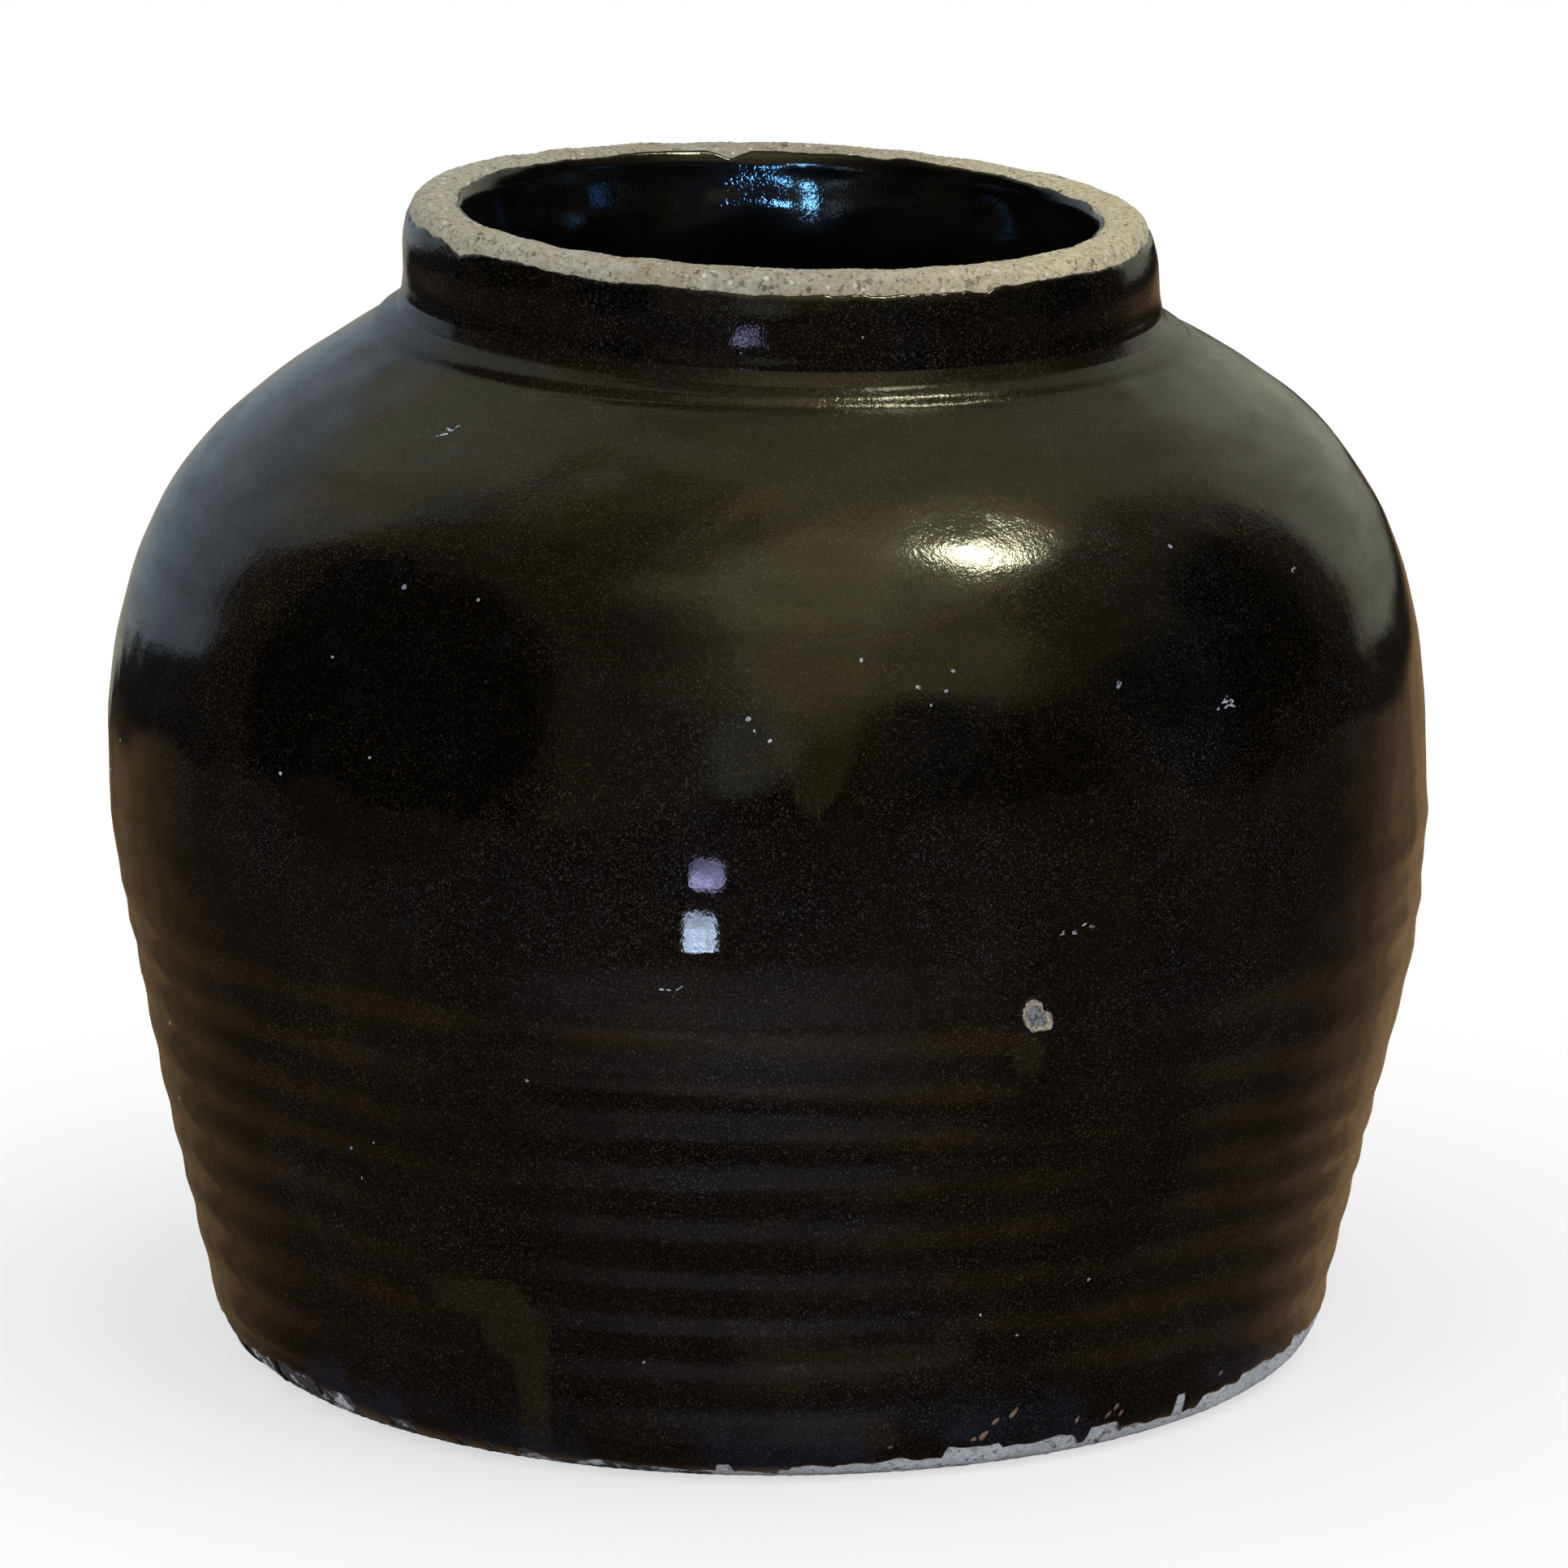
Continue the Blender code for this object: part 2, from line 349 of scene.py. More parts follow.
def lean(xyz):
    z = xyz[..., 2].copy()
    xyz[..., 2] = z - RIM_TILT * xyz[..., 0] * smooth(205 * MM, 245 * MM, z)
    xyz[..., 0] += np.interp(z, LEAN_GRID, CENTRE_LINE) * smooth(0, 6 * MM, z)
    return xyz


def surface(azimuth, s, lift):
    """World points of the worked surface: azimuth and s are arrays that broadcast together."""
    (radius, z), (nr, nz) = SECTION.at(s)
    raised = lift + relief(azimuth, s)
    radius = np.maximum(radius + nr * raised, 0)
    height = np.maximum(z + nz * raised, 0)
    angle = np.radians(azimuth)
    return lean(np.stack((radius * np.sin(angle), -radius * np.cos(angle), height + 0 * angle), -1))


# ---------------------------------------------------------------- meshes


def strip(faces, start_a, count_a, start_b, count_b):
    """Adds the faces between two rings; one may have twice the points of the other."""
    if count_a == count_b:
        j = np.arange(count_a)
        k = (j + 1) % count_a
        faces.extend(np.stack((start_a + j, start_a + k, start_b + k, start_b + j), 1).tolist())
        return
    swap = count_a > count_b
    coarse, fine = (start_b, start_a) if swap else (start_a, start_b)
    count = min(count_a, count_b)
    j = np.arange(count)
    k = (j + 1) % count
    left, middle, right = fine + 2 * j, fine + 2 * j + 1, fine + 2 * k
    for triangle in (
        (coarse + j, coarse + k, middle), (coarse + k, right, middle), (coarse + j, middle, left)
    ):
        faces.extend(np.stack(triangle[::-1] if swap else triangle, 1).tolist())


def make_piece(name, replaced, rings, closed, material, attributes=None, poles=(None, None)):
    """A turned piece from its rings of points, outer side first; closed joins the last ring to the first."""
    counts = [len(ring) for ring in rings]
    starts = np.concatenate(((0,), np.cumsum(counts)[:-1]))
    vertices = np.vstack(rings)
    faces = []
    for i in range(len(rings) - 1 + closed):
        n = (i + 1) % len(rings)
        strip(faces, starts[i], counts[i], starts[n], counts[n])
    extra = []
    for pole, ring, flip in ((poles[0], 0, False), (poles[1], len(rings) - 1, True)):
        if pole is None:
            continue
        tip = len(vertices) + len(extra)
        extra.append(pole)
        j = np.arange(counts[ring])
        k = (j + 1) % counts[ring]
        for a, b in zip((starts[ring] + j).tolist(), (starts[ring] + k).tolist()):
            faces.append((a, tip, b) if not flip else (b, tip, a))
    if extra:
        vertices = np.vstack((vertices, extra))
    mesh = new_mesh(name, vertices.tolist(), faces)
    if signed_volume(mesh) < 0:
        mesh.flip_normals()
    mesh.shade_smooth()
    mesh.set_sharp_from_angle(angle=SHARP_EDGE)
    for key, values in (attributes or {}).items():
        layer = mesh.attributes.new(key, "FLOAT", "POINT")
        padded = np.concatenate((np.asarray(values, np.float32).ravel(), np.zeros(len(extra), np.float32)))
        layer.data.foreach_set("value", padded)
    mesh.materials.append(material)
    return show(name, mesh, replaced)


def new_mesh(name, vertices, faces):
    mesh = bpy.data.meshes.new(name)
    mesh.from_pydata(vertices, [], faces)
    mesh.update()
    return mesh


def add_object(name, data):
    made = bpy.data.objects.new(name, data)
    bpy.context.scene.collection.objects.link(made)
    return made


def show(name, mesh, replaced=None):
    """Puts a piece in the scene, riding the jar's one body, and hides the node it replaces."""
    piece = add_object(name, mesh)
    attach(piece, "root")
    if replaced:
        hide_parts(replaced)
    return piece


def signed_volume(mesh):
    """Volume inside a closed mesh, negative when its faces point inwards."""
    mesh.calc_loop_triangles()
    points = np.empty(len(mesh.vertices) * 3)
    mesh.vertices.foreach_get("co", points)
    points = points.reshape(-1, 3)
    corners = np.empty(len(mesh.loop_triangles) * 3, np.int32)
    mesh.loop_triangles.foreach_get("vertices", corners)
    a, b, c = (points[corners.reshape(-1, 3)[:, i]] for i in range(3))
    return np.einsum("ij,ij->i", a, np.cross(b, c)).sum() / 6


def columns(count):
    return np.arange(count) * 360.0 / count


def stations(*runs):
    """Arc positions from runs of (start, end, spacing), joined without repeats."""
    parts = []
    for start, end, spacing in runs:
        steps = max(1, int(round(abs(end - start) / spacing)))
        parts.append(np.linspace(start, end, steps + 1)[:-1])
    return np.concatenate(parts + [np.array([runs[-1][1]])])


# ---------------------------------------------------------------- where the glaze stops

FOOT_RAGGED = Waves(31, 70, (8, 150), (1.0, 2.0), 0.55)
FOOT_SLOW = Waves(32, 8, (1, 7), (1.0, 2.0))
RIM_RAGGED = Waves(33, 90, (5, 200), (1.0, 2.0), 0.95)
MOUTH_RAGGED = Waves(34, 90, (5, 150), (1.0, 2.0), 0.95)

# Bare stretches round the foot: azimuth, half width in degrees, height of the bare band in mm.
BARE_FOOT = (
    (-78, 7, 9.5), (-66, 5, 8.2), (-57, 4.5, 8.8), (-50, 3.2, 7.2), (-41, 2.0, 5.8), (-33.6, 0.8, 5.2),
    (-30, 0.6, 4.6), (-26, 0.8, 4.4), (-4.9, 0.9, 5.0), (5, 4, 3.9), (12, 7, 4.7), (20.5, 3.6, 7.4),
    (27, 6, 5.8), (35.4, 2.2, 6.6), (43, 8, 4.8), (45.7, 0.9, 9.8), (53, 5, 7.2), (62, 8, 8.6),
    (76, 11, 10.0), (96, 12, 7.6), (128, 9, 6.8), (150, 4, 4.6), (178, 12, 5.4), (204, 5, 7.0),
    (231, 13, 5.8), (262, 7, 7.6),
)


LEAST_BARE = 2.9 * MM

# Nicks that cut into the two upper edges: azimuth, half width in degrees, depth in mm.
RIM_NICKS = ((-58, 2.5, 1.6), (32, 1.6, 0.8), (140, 3, 1.2), (218, 2, 1.4))
MOUTH_NICKS = ((189, 2.6, 1.7), (31, 3.4, 0.6), (160, 2.0, 0.4), (-60, 4, 0.4), (100, 3.0, 0.6))


def foot_edge(azimuth):
    """Height on the outside where the outer coat stops above the foot."""
    bare = np.full_like(azimuth, LEAST_BARE)
    for centre, half, height in BARE_FOOT:
        reach = np.abs(turn(azimuth, centre)) / half
        bare = np.maximum(bare, height * MM * (1 - smooth(0.75, 1.1, reach)))
    ragged = MM * (0.34 * FOOT_RAGGED(azimuth) + 0.20 * FOOT_SLOW(azimuth))
    return np.maximum(bare + ragged, 1.6 * MM)


def nicked(edge, azimuth, nicks):
    """A coat's edge lowered at its nicks."""
    for centre, half, depth in nicks:
        edge = edge - depth * MM * bump(turn(azimuth, centre), 0, half)
    return edge


def rim_edge(azimuth):
    """Height on the outside where the outer coat stops below the rim, a little lower in front."""
    edge = RIM_GLAZE_LINE + 0.26 * MM * RIM_RAGGED(azimuth) - 0.9 * MM * bump(turn(azimuth, 0), 0, 40)
    return nicked(edge, azimuth, RIM_NICKS)


def mouth_edge(azimuth):
    """Height on the inside where the inner coat stops below the rim, a little higher at the back."""
    edge = RIM_TOP + MM * (0.17 * MOUTH_RAGGED(azimuth) + 0.55 * bump(turn(azimuth, 180), 0, 55) - 1.05)
    return np.minimum(nicked(edge, azimuth, MOUTH_NICKS), RIM_TOP - 0.5 * MM)


# The back of a coat lies inside the clay, and its uneven edges fade into even rings.
COAT_BACK = -0.9 * MM
BACK_FADE = 3 * MM
EDGE_FADE = 12 * MM


def coat_lift(s, low, high):
    """Height of the coat over the turned line, rolled over where it stops."""
    near = np.minimum(s - low, high - s)
    rounded = np.sqrt(1 - (1 - np.clip(near / COAT_EDGE, 0, 1)) ** 2)
    return CLAY_LIFT - TUCK + (COAT + TUCK) * rounded


# ---------------------------------------------------------------- node helpers


GRAIN_DRIFT = 3.0 * MM


class Graph:
    """A short way to write a node tree."""

    def __init__(self, tree):
        self.tree = tree

    def node(self, kind, settings=None, **inputs):
        made = self.tree.nodes.new(kind)
        for key, value in (settings or {}).items():
            setattr(made, key, value)
        for key, value in inputs.items():
            self.feed(made, key.replace("_", " "), value)
        return made

    def feed(self, node, key, value):
        socket = node.inputs[int(key[1:])] if key[0] == "i" and key[1:].isdigit() else node.inputs[key]
        if isinstance(value, bpy.types.NodeSocket):
            self.tree.links.new(value, socket)
        elif isinstance(value, bpy.types.Node):
            self.tree.links.new(value.outputs[0], socket)
        else:
            socket.default_value = value

    def math(self, operation, a, b=0.0, c=0.0):
        return self.node("ShaderNodeMath", {"operation": operation}, i0=a, i1=b, i2=c)

    def times(self, a, b):
        return self.math("MULTIPLY", a, b)

    def plus(self, a, b):
        return self.math("ADD", a, b)

    def minus(self, a, b):
        return self.math("SUBTRACT", a, b)

    def scaled(self, value, factor, offset):
        return self.math("MULTIPLY_ADD", value, factor, offset)

    def noise(self, scale, detail=2.0, vector=None, rough=0.5, distortion=0.0):
        made = self.node(
            "ShaderNodeTexNoise", Scale=scale, Detail=detail, Roughness=rough, Distortion=distortion
        )
        if vector is not None:
            self.feed(made, "Vector", vector)
        return made.outputs["Fac"]

    def ramp(self, value, low, high, start=0.0, end=1.0):
        """Smooth step from start to end as value goes from low to high."""
        made = self.node("ShaderNodeMapRange", {"interpolation_type": "SMOOTHSTEP"}, Value=value)
        for key, number in (("From Min", low), ("From Max", high), ("To Min", start), ("To Max", end)):
            made.inputs[key].default_value = number
        return made

    def mix(self, factor, a, b, blend="MIX"):
        made = self.tree.nodes.new("ShaderNodeMix")
        made.data_type = "RGBA"
        made.blend_type = blend
        made.clamp_factor = False
        for index, value in ((0, factor), (6, a), (7, b)):
            if isinstance(value, tuple) and len(value) == 3:
                value = (*value, 1.0)
            if isinstance(value, bpy.types.Node):
                value = value.outputs[0]
            if isinstance(value, bpy.types.NodeSocket):
                self.tree.links.new(value, made.inputs[index])
            else:
                made.inputs[index].default_value = value
        return made.outputs[2]

    def specks(self, place, scale, inner, outer, rare, full=1.25):
        """Separate soft dots of unequal brightness; rare is the share of cells left without one."""
        cells = self.node("ShaderNodeTexVoronoi", {"feature": "F1"}, Vector=place, Scale=scale)
        drawn = self.node("ShaderNodeSeparateColor", Color=cells.outputs["Color"]).outputs[0]
        dot = self.ramp(cells.outputs["Distance"], inner, outer, 1.0, 0.0)
        return self.times(dot, self.ramp(drawn, rare, full))

    def grain_place(self, place):
        """Place for fine grain, drifting a little, so that no wall runs flush with the grain's own grid."""
        drift = self.node("ShaderNodeTexNoise", Scale=120.0, Detail=1.0, Vector=place).outputs["Color"]
        reach = (GRAIN_DRIFT,) * 3
        return self.node("ShaderNodeVectorMath", {"operation": "MULTIPLY_ADD"}, i0=drift, i1=reach, i2=place)

    def axis(self, vector, index):
        return self.node("ShaderNodeSeparateXYZ", Vector=vector).outputs[index]

    def attribute(self, name):
        return self.node("ShaderNodeAttribute", {"attribute_name": name}).outputs["Fac"]

    def bump(self, height, distance, normal=None, strength=1.0):
        made = self.node("ShaderNodeBump", Strength=strength, Distance=distance, Height=height)
        if normal is not None:
            self.feed(made, "Normal", normal)
        return made


def new_material(name):
    made = bpy.data.materials.new(name)
    made.use_nodes = True
    graph = Graph(made.node_tree)
    shader = made.node_tree.nodes["Principled BSDF"]
    place = graph.node("ShaderNodeTexCoord").outputs["Object"]
    return made, graph, shader, place


# ---------------------------------------------------------------- materials

BLACK_GLAZE = (0.0008, 0.0006, 0.0005)
BROWN_GLAZE = (0.0036, 0.0020, 0.0010)
TOFFEE_GLAZE = (0.0080, 0.0050, 0.0019)
# Olive: the glaze's own colour in the low patches; on the shoulder and in the runs it is partly painted sheen.
OLIVE_GLAZE_AND_SHEEN = (0.0110, 0.0086, 0.0032)
RUST_GLAZE = (0.0150, 0.0088, 0.0030)
MILKY_GLAZE = (0.0065, 0.0090, 0.0185)
BLUE_WISP = (0.0060, 0.0070, 0.0105)
GOLD_FLECK = (0.105, 0.070, 0.030)
SILVER_FLECK = (0.075, 0.078, 0.090)
ASH_FLECK = (0.115, 0.120, 0.135)


def poured_colour_and_sheen(graph, place, colour, mottle, cloud):
    """Colour of the outer glaze where it pooled, ran, or broke over the throwing rings; its olive on the
    shoulder and in the runs is partly painted sheen.
    """
    edge = graph.scaled(graph.minus(graph.noise(60, 5, place, 0.65), 0.5), 0.5, 0.0)
    olive_and_sheen = graph.plus(graph.attribute("olive_and_sheen"), edge)
    colour = graph.mix(graph.ramp(olive_and_sheen, 0.15, 0.9), colour, OLIVE_GLAZE_AND_SHEEN)
    dark = graph.plus(graph.attribute("dark"), graph.times(edge, 0.8))
    colour = graph.mix(graph.ramp(dark, 0.3, 0.8, 0.0, 0.85), colour, BLACK_GLAZE)
    ridge = graph.times(graph.attribute("ridge"), graph.ramp(cloud, 0.35, 0.65))
    colour = graph.mix(graph.ramp(ridge, 0.1, 1.0, 0.0, 0.7), colour, RUST_GLAZE)
    milky = graph.times(graph.attribute("milky"), graph.ramp(mottle, 0.35, 0.6, 0.25, 1.0))
    colour = graph.mix(milky, colour, MILKY_GLAZE)
    return graph.mix(graph.times(graph.attribute("pooled"), 0.6), colour, BROWN_GLAZE)


# Tea dust in three sizes: specks per metre, share of places left empty, strength.
DUST = ((2600, 0.20, 0.75), (1500, 0.55, 0.65), (880, 0.86, 1.0))


def dusted(graph, place, fine, colour, shy, amount):
    """Adds the crystals of the tea dust, few where shy is high, and rare larger flecks of ash."""
    crowd = graph.ramp(graph.noise(45, 4, place, 0.6), 0.30, 0.70, 0.45, 1.0)
    crowd = graph.times(crowd, graph.scaled(shy, -0.50, 1.0))
    wisp = graph.ramp(graph.noise(55, 7, place, 0.72, 0.8), 0.56, 0.74, 0.0, 0.6)
    colour = graph.mix(wisp, colour, BLUE_WISP)
    flecks = graph.mix(graph.ramp(graph.noise(24, 3, place), 0.42, 0.62), GOLD_FLECK, SILVER_FLECK)
    for scale, rare, strength in DUST:
        dust = graph.times(graph.specks(fine, scale, 0.20, 0.46, rare), strength * amount)
        colour = graph.mix(graph.times(dust, crowd), colour, flecks)
    ash = graph.specks(place, 420, 0.08, 0.20, 0.90)
    return graph.mix(graph.times(ash, 0.7 * amount), colour, ASH_FLECK)


def glaze_material(name, tone, dust, poured_and_sheen):
    """Glossy iron glaze: clear coat over a dark body full of fine tea-dust crystals."""
    made, graph, shader, place = new_material(name)
    fine = graph.grain_place(place)
    mottle = graph.noise(30, 6, place, 0.66, 0.5)
    cloud = graph.noise(13, 5, place, 0.6, 0.6)
    colour = graph.mix(graph.ramp(mottle, 0.34, 0.62), BLACK_GLAZE, BROWN_GLAZE)
    colour = graph.mix(graph.ramp(cloud, 0.50, 0.72, 0.0, 0.7), colour, TOFFEE_GLAZE)
    # The coat's waves are lively on the shoulder and calm below it.
    lively = graph.ramp(graph.axis(place, 2), 0.150, 0.190, 0.14, 1.0)
    banded = graph.node("ShaderNodeMapping", Vector=place)
    banded.inputs["Scale"].default_value = (1.0, 1.0, 5.0)
    gloss = graph.ramp(graph.noise(26, 6, banded, 0.68, 0.3), 0.30, 0.60, 0.72, 1.0)
    shy = 0.0
    if poured_and_sheen:
        colour = poured_colour_and_sheen(graph, place, colour, mottle, cloud)
        shy = graph.attribute("dark")
        lively = graph.scaled(graph.attribute("pebbled"), 1.3, lively)
        gloss = graph.times(gloss, graph.scaled(graph.attribute("pooled"), -0.30, 1.0))
    colour = dusted(graph, place, fine, colour, shy, dust)
    graph.feed(shader, "Base Color", graph.mix(1.0, colour, (tone, tone, tone), "MULTIPLY"))
    graph.feed(shader, "Roughness", graph.ramp(graph.noise(14, 4, place), 0.3, 0.7, 0.30, 0.42))
    graph.feed(shader, "Specular IOR Level", 0.05)
    body = graph.bump(graph.noise(240, 2, place), 0.00006)
    graph.feed(shader, "Normal", graph.bump(graph.noise(2100, 2, fine, 0.65), 0.00003, body))
    graph.feed(shader, "Coat Weight", gloss)
    graph.feed(shader, "Coat IOR", 1.5)
    satin = graph.ramp(graph.noise(40, 4, place, 0.6), 0.3, 0.7, 0.022, 0.10)
    graph.feed(shader, "Coat Roughness", graph.times(satin, lively))
    wave = graph.bump(graph.noise(130, 3, place, 0.6), 0.00009, strength=lively)
    peel = graph.bump(graph.noise(420, 2, fine), 0.000034, wave, lively)
    graph.feed(shader, "Coat Normal", graph.bump(graph.noise(1300, 2, fine, 0.6), 0.000040, peel, lively))
    return made


# Painted light on the rim clay: lighter and greener at the left, lighter and warmer at the right, where light
# falls on it.
LEFT_PAINTED_LIGHT_CLAY = (0.50, 0.475, 0.36)
RIGHT_PAINTED_LIGHT_CLAY = (0.66, 0.58, 0.37)
KILN_STAIN = (0.012, 0.010, 0.011)

# Sand in the clay: size against the clay's own grain, share of places without one, colour, strength.
SAND = (
    (1.0, 0.86, (0.66, 0.64, 0.58), 0.75), (0.8, 0.91, (0.07, 0.07, 0.075), 0.8),
    (1.9, 0.72, (0.60, 0.56, 0.47), 0.6), (2.1, 0.80, (0.10, 0.08, 0.07), 0.6),
)


def clay_material(name, base, pale, dark, grain, stain=0.0, painted_side_light=False):
    """Bare fired stoneware: body colour, white and dark sand grains, pits and, at need, black stains.

    With painted side light the clay is painted lighter to the left and pale and warm to the right.
    """
    made, graph, shader, place = new_material(name)
    x = graph.axis(place, 0)
    cloud = graph.noise(90, 6, place, 0.7, 0.4)
    colour = graph.mix(graph.ramp(cloud, 0.38, 0.60), base, pale)
    # Painted light: lighter towards the left, lighter and warmer towards the right; the front keeps the body
    # colour.
    if painted_side_light:
        colour = graph.mix(graph.ramp(x, -0.02, -0.075, 0.0, 0.55), colour, LEFT_PAINTED_LIGHT_CLAY)
        colour = graph.mix(graph.ramp(x, 0.0, 0.070, 0.0, 0.85), colour, RIGHT_PAINTED_LIGHT_CLAY)
    fine = graph.noise(800, 4, place, 0.75)
    colour = graph.mix(graph.ramp(fine, 0.38, 0.66, 0.0, 0.6), colour, dark)
    heights = graph.times(fine, 0.6)
    for size, share, tint, amount in SAND:
        spot = graph.specks(place, grain * size, 0.25, 0.42, share, share + 0.03)
        colour = graph.mix(graph.times(spot, amount), colour, tint)
        heights = graph.scaled(spot, 0.5, heights)
    pits = graph.ramp(graph.noise(380, 3, place, 0.65), 0.60, 0.70)
    colour = graph.mix(graph.times(pits, 0.75), colour, dark)
    if stain:
        bias = graph.ramp(x, -0.06, 0.04, 0.10, -0.10)
        blot = graph.plus(graph.noise(150, 4, place, 0.65), bias)
        colour = graph.mix(graph.ramp(blot, 0.50, 0.58, 0.0, stain), colour, KILN_STAIN)
    graph.feed(shader, "Base Color", colour)
    graph.feed(shader, "Roughness", graph.ramp(fine, 0.3, 0.7, 0.72, 0.95))
    graph.feed(shader, "Specular IOR Level", 0.3)
    graph.feed(shader, "Normal", graph.bump(graph.scaled(pits, -1.3, heights), 0.00030))
    return made


OUTER_GLAZE = glaze_material("outer_glaze_tea_dust", 1.0, 1.0, True)
INNER_GLAZE = glaze_material("inner_glaze_black", 0.75, 0.12, False)
# The rim clay carries painted side light.
RIM_CLAY = clay_material(
    "rim_clay_buff", (0.36, 0.315, 0.215), (0.42, 0.40, 0.325), (0.20, 0.165, 0.12), 520, painted_side_light=True
)
FOOT_CLAY = clay_material(
    "foot_clay_grey", (0.46, 0.49, 0.56), (0.62, 0.65, 0.72), (0.32, 0.30, 0.30), 520, stain=0.9
)
WALL_CLAY = clay_material("wall_clay", (0.38, 0.30, 0.21), (0.46, 0.39, 0.29), (0.20, 0.15, 0.10), 260)
GRIT_STONE = clay_material("kiln_grit_stone", (0.26, 0.29, 0.35), (0.52, 0.57, 0.66), (0.10, 0.10, 0.11), 420)
RUST_SKIN = clay_material("rust_skin", (0.17, 0.095, 0.06), (0.26, 0.17, 0.12), (0.05, 0.03, 0.02), 420)
SLIP = clay_material("joining_slip", (0.30, 0.24, 0.18), (0.36, 0.30, 0.23), (0.16, 0.12, 0.09), 420)


def blister_material():
    """Sandy floor, tan lip and a blue-black glazed outside."""
    made, graph, shader, place = new_material("blister_skin")
    uneven = graph.times(graph.minus(graph.noise(900, 3, place, 0.6), 0.5), 0.35)
    share = graph.plus(graph.attribute("share"), uneven)
    grains = graph.ramp(graph.noise(1500, 4, place, 0.75), 0.36, 0.62)
    sand = graph.mix(grains, (0.055, 0.060, 0.075), (0.30, 0.30, 0.31))
    lip = graph.mix(grains, (0.14, 0.105, 0.07), (0.52, 0.45, 0.34))
    colour = graph.mix(graph.ramp(share, 0.55, 0.72), sand, lip)
    colour = graph.mix(graph.ramp(share, 0.86, 0.98), colour, (0.004, 0.005, 0.010))
    graph.feed(shader, "Base Color", colour)
    graph.feed(shader, "Roughness", graph.ramp(share, 0.80, 1.0, 0.85, 0.25))
    graph.feed(shader, "Normal", graph.bump(graph.noise(1500, 3, place, 0.7), 0.0002))
    return made


BLISTER_SKIN = blister_material()


# ---------------------------------------------------------------- glaze colour fields

# Poured glaze leaves lobes: azimuth, height in mm, half width in degrees, half height in mm, how dark.
DARK_LOBES = (
    (-34, 172, 17, 34, 1.0), (-13, 199, 13, 17, 0.62), (43, 184, 15, 20, 0.85), (22, 168, 9, 16, 0.6),
    (82, 176, 14, 30, 0.9), (112, 192, 16, 22, 0.7), (151, 170, 19, 33, 1.0), (186, 196, 13, 18, 0.7),
    (214, 178, 15, 27, 0.9), (249, 190, 18, 24, 0.75), (284, 172, 13, 31, 1.0),
)
# Olive runs between the lobes, partly olive glaze and partly painted sheen: azimuth, top and bottom height in
# mm, half width in degrees at the top.
OLIVE_AND_SHEEN_RUNS = (
    (4, 216, 156, 13), (66, 210, 165, 8), (131, 212, 150, 9), (171, 214, 168, 7), (233, 212, 160, 9),
    (268, 210, 172, 7),
)
# Olive patches low on the wall: azimuth, height, half width in degrees, half height in mm.
OLIVE_PATCHES = (
    (21.9, 101.5, 1.5, 6), (-29, 41, 5.5, 5), (-25, 33, 3.5, 7), (-23.6, 16, 1.9, 19), (6, 12, 7, 5),
    (9, 30, 13, 4), (51, 62, 3, 3), (112, 30, 9, 9), (118, 14, 2.2, 16), (188, 26, 12, 6),
    (197, 12, 2.5, 13), (251, 37, 9, 7), (256, 18, 2, 18),
)
LOBE_WOBBLE = Waves(41, 24, (3, 18), (40 * MM, 120 * MM), 0.2)


def lobes(azimuth, z, wobble):
    """Dark ovals of thick glaze."""
    dark = np.zeros_like(z)
    for centre, height, half, tall, depth in DARK_LOBES:
        across, up = turn(azimuth, centre) / half, (z - height * MM) / (tall * MM)
        reach = np.sqrt(across**2 + up**2) + 0.05 * wobble
        dark = np.maximum(dark, depth * (1 - smooth(0.86, 1.06, reach)))
    return dark


def runs_and_shoulder(azimuth, z, wobble, dark):
    """Olive glaze on the shoulder and in the runs below it, which interrupt the dark lobes; it is partly
    painted sheen.
    """
    # Painted sheen: the olive band over the upper shoulder is partly glaze colour and partly painted sheen.
    olive_and_sheen = 0.8 * smooth(196 * MM, 218 * MM, z + 3 * MM * wobble)
    for centre, top, bottom, half in OLIVE_AND_SHEEN_RUNS:
        share = np.clip((z / MM - bottom) / (top - bottom), 0, 1.4)
        width = half * np.sqrt(share) * (0.55 + 0.45 * share)
        reach = np.abs(turn(azimuth, centre)) / np.maximum(width, 0.05) + 0.08 * wobble
        run = (1 - smooth(0.55, 1.25, reach)) * (share > 0)
        olive_and_sheen = np.maximum(olive_and_sheen, run)
        dark = dark * (1 - run)
    return olive_and_sheen, dark


def low_patches(azimuth, z, wobble, olive_and_sheen):
    """Adds the olive patches below the belly."""
    for centre, height, half, tall in OLIVE_PATCHES:
        across, up = np.abs(turn(azimuth, centre) / half), np.abs((z / MM - height) / tall)
        reach = (across**3 + up**3) ** (1 / 3) + 0.10 * wobble
        olive_and_sheen = np.maximum(olive_and_sheen, 0.8 * (1 - smooth(0.7, 1.15, reach)))
    return olive_and_sheen


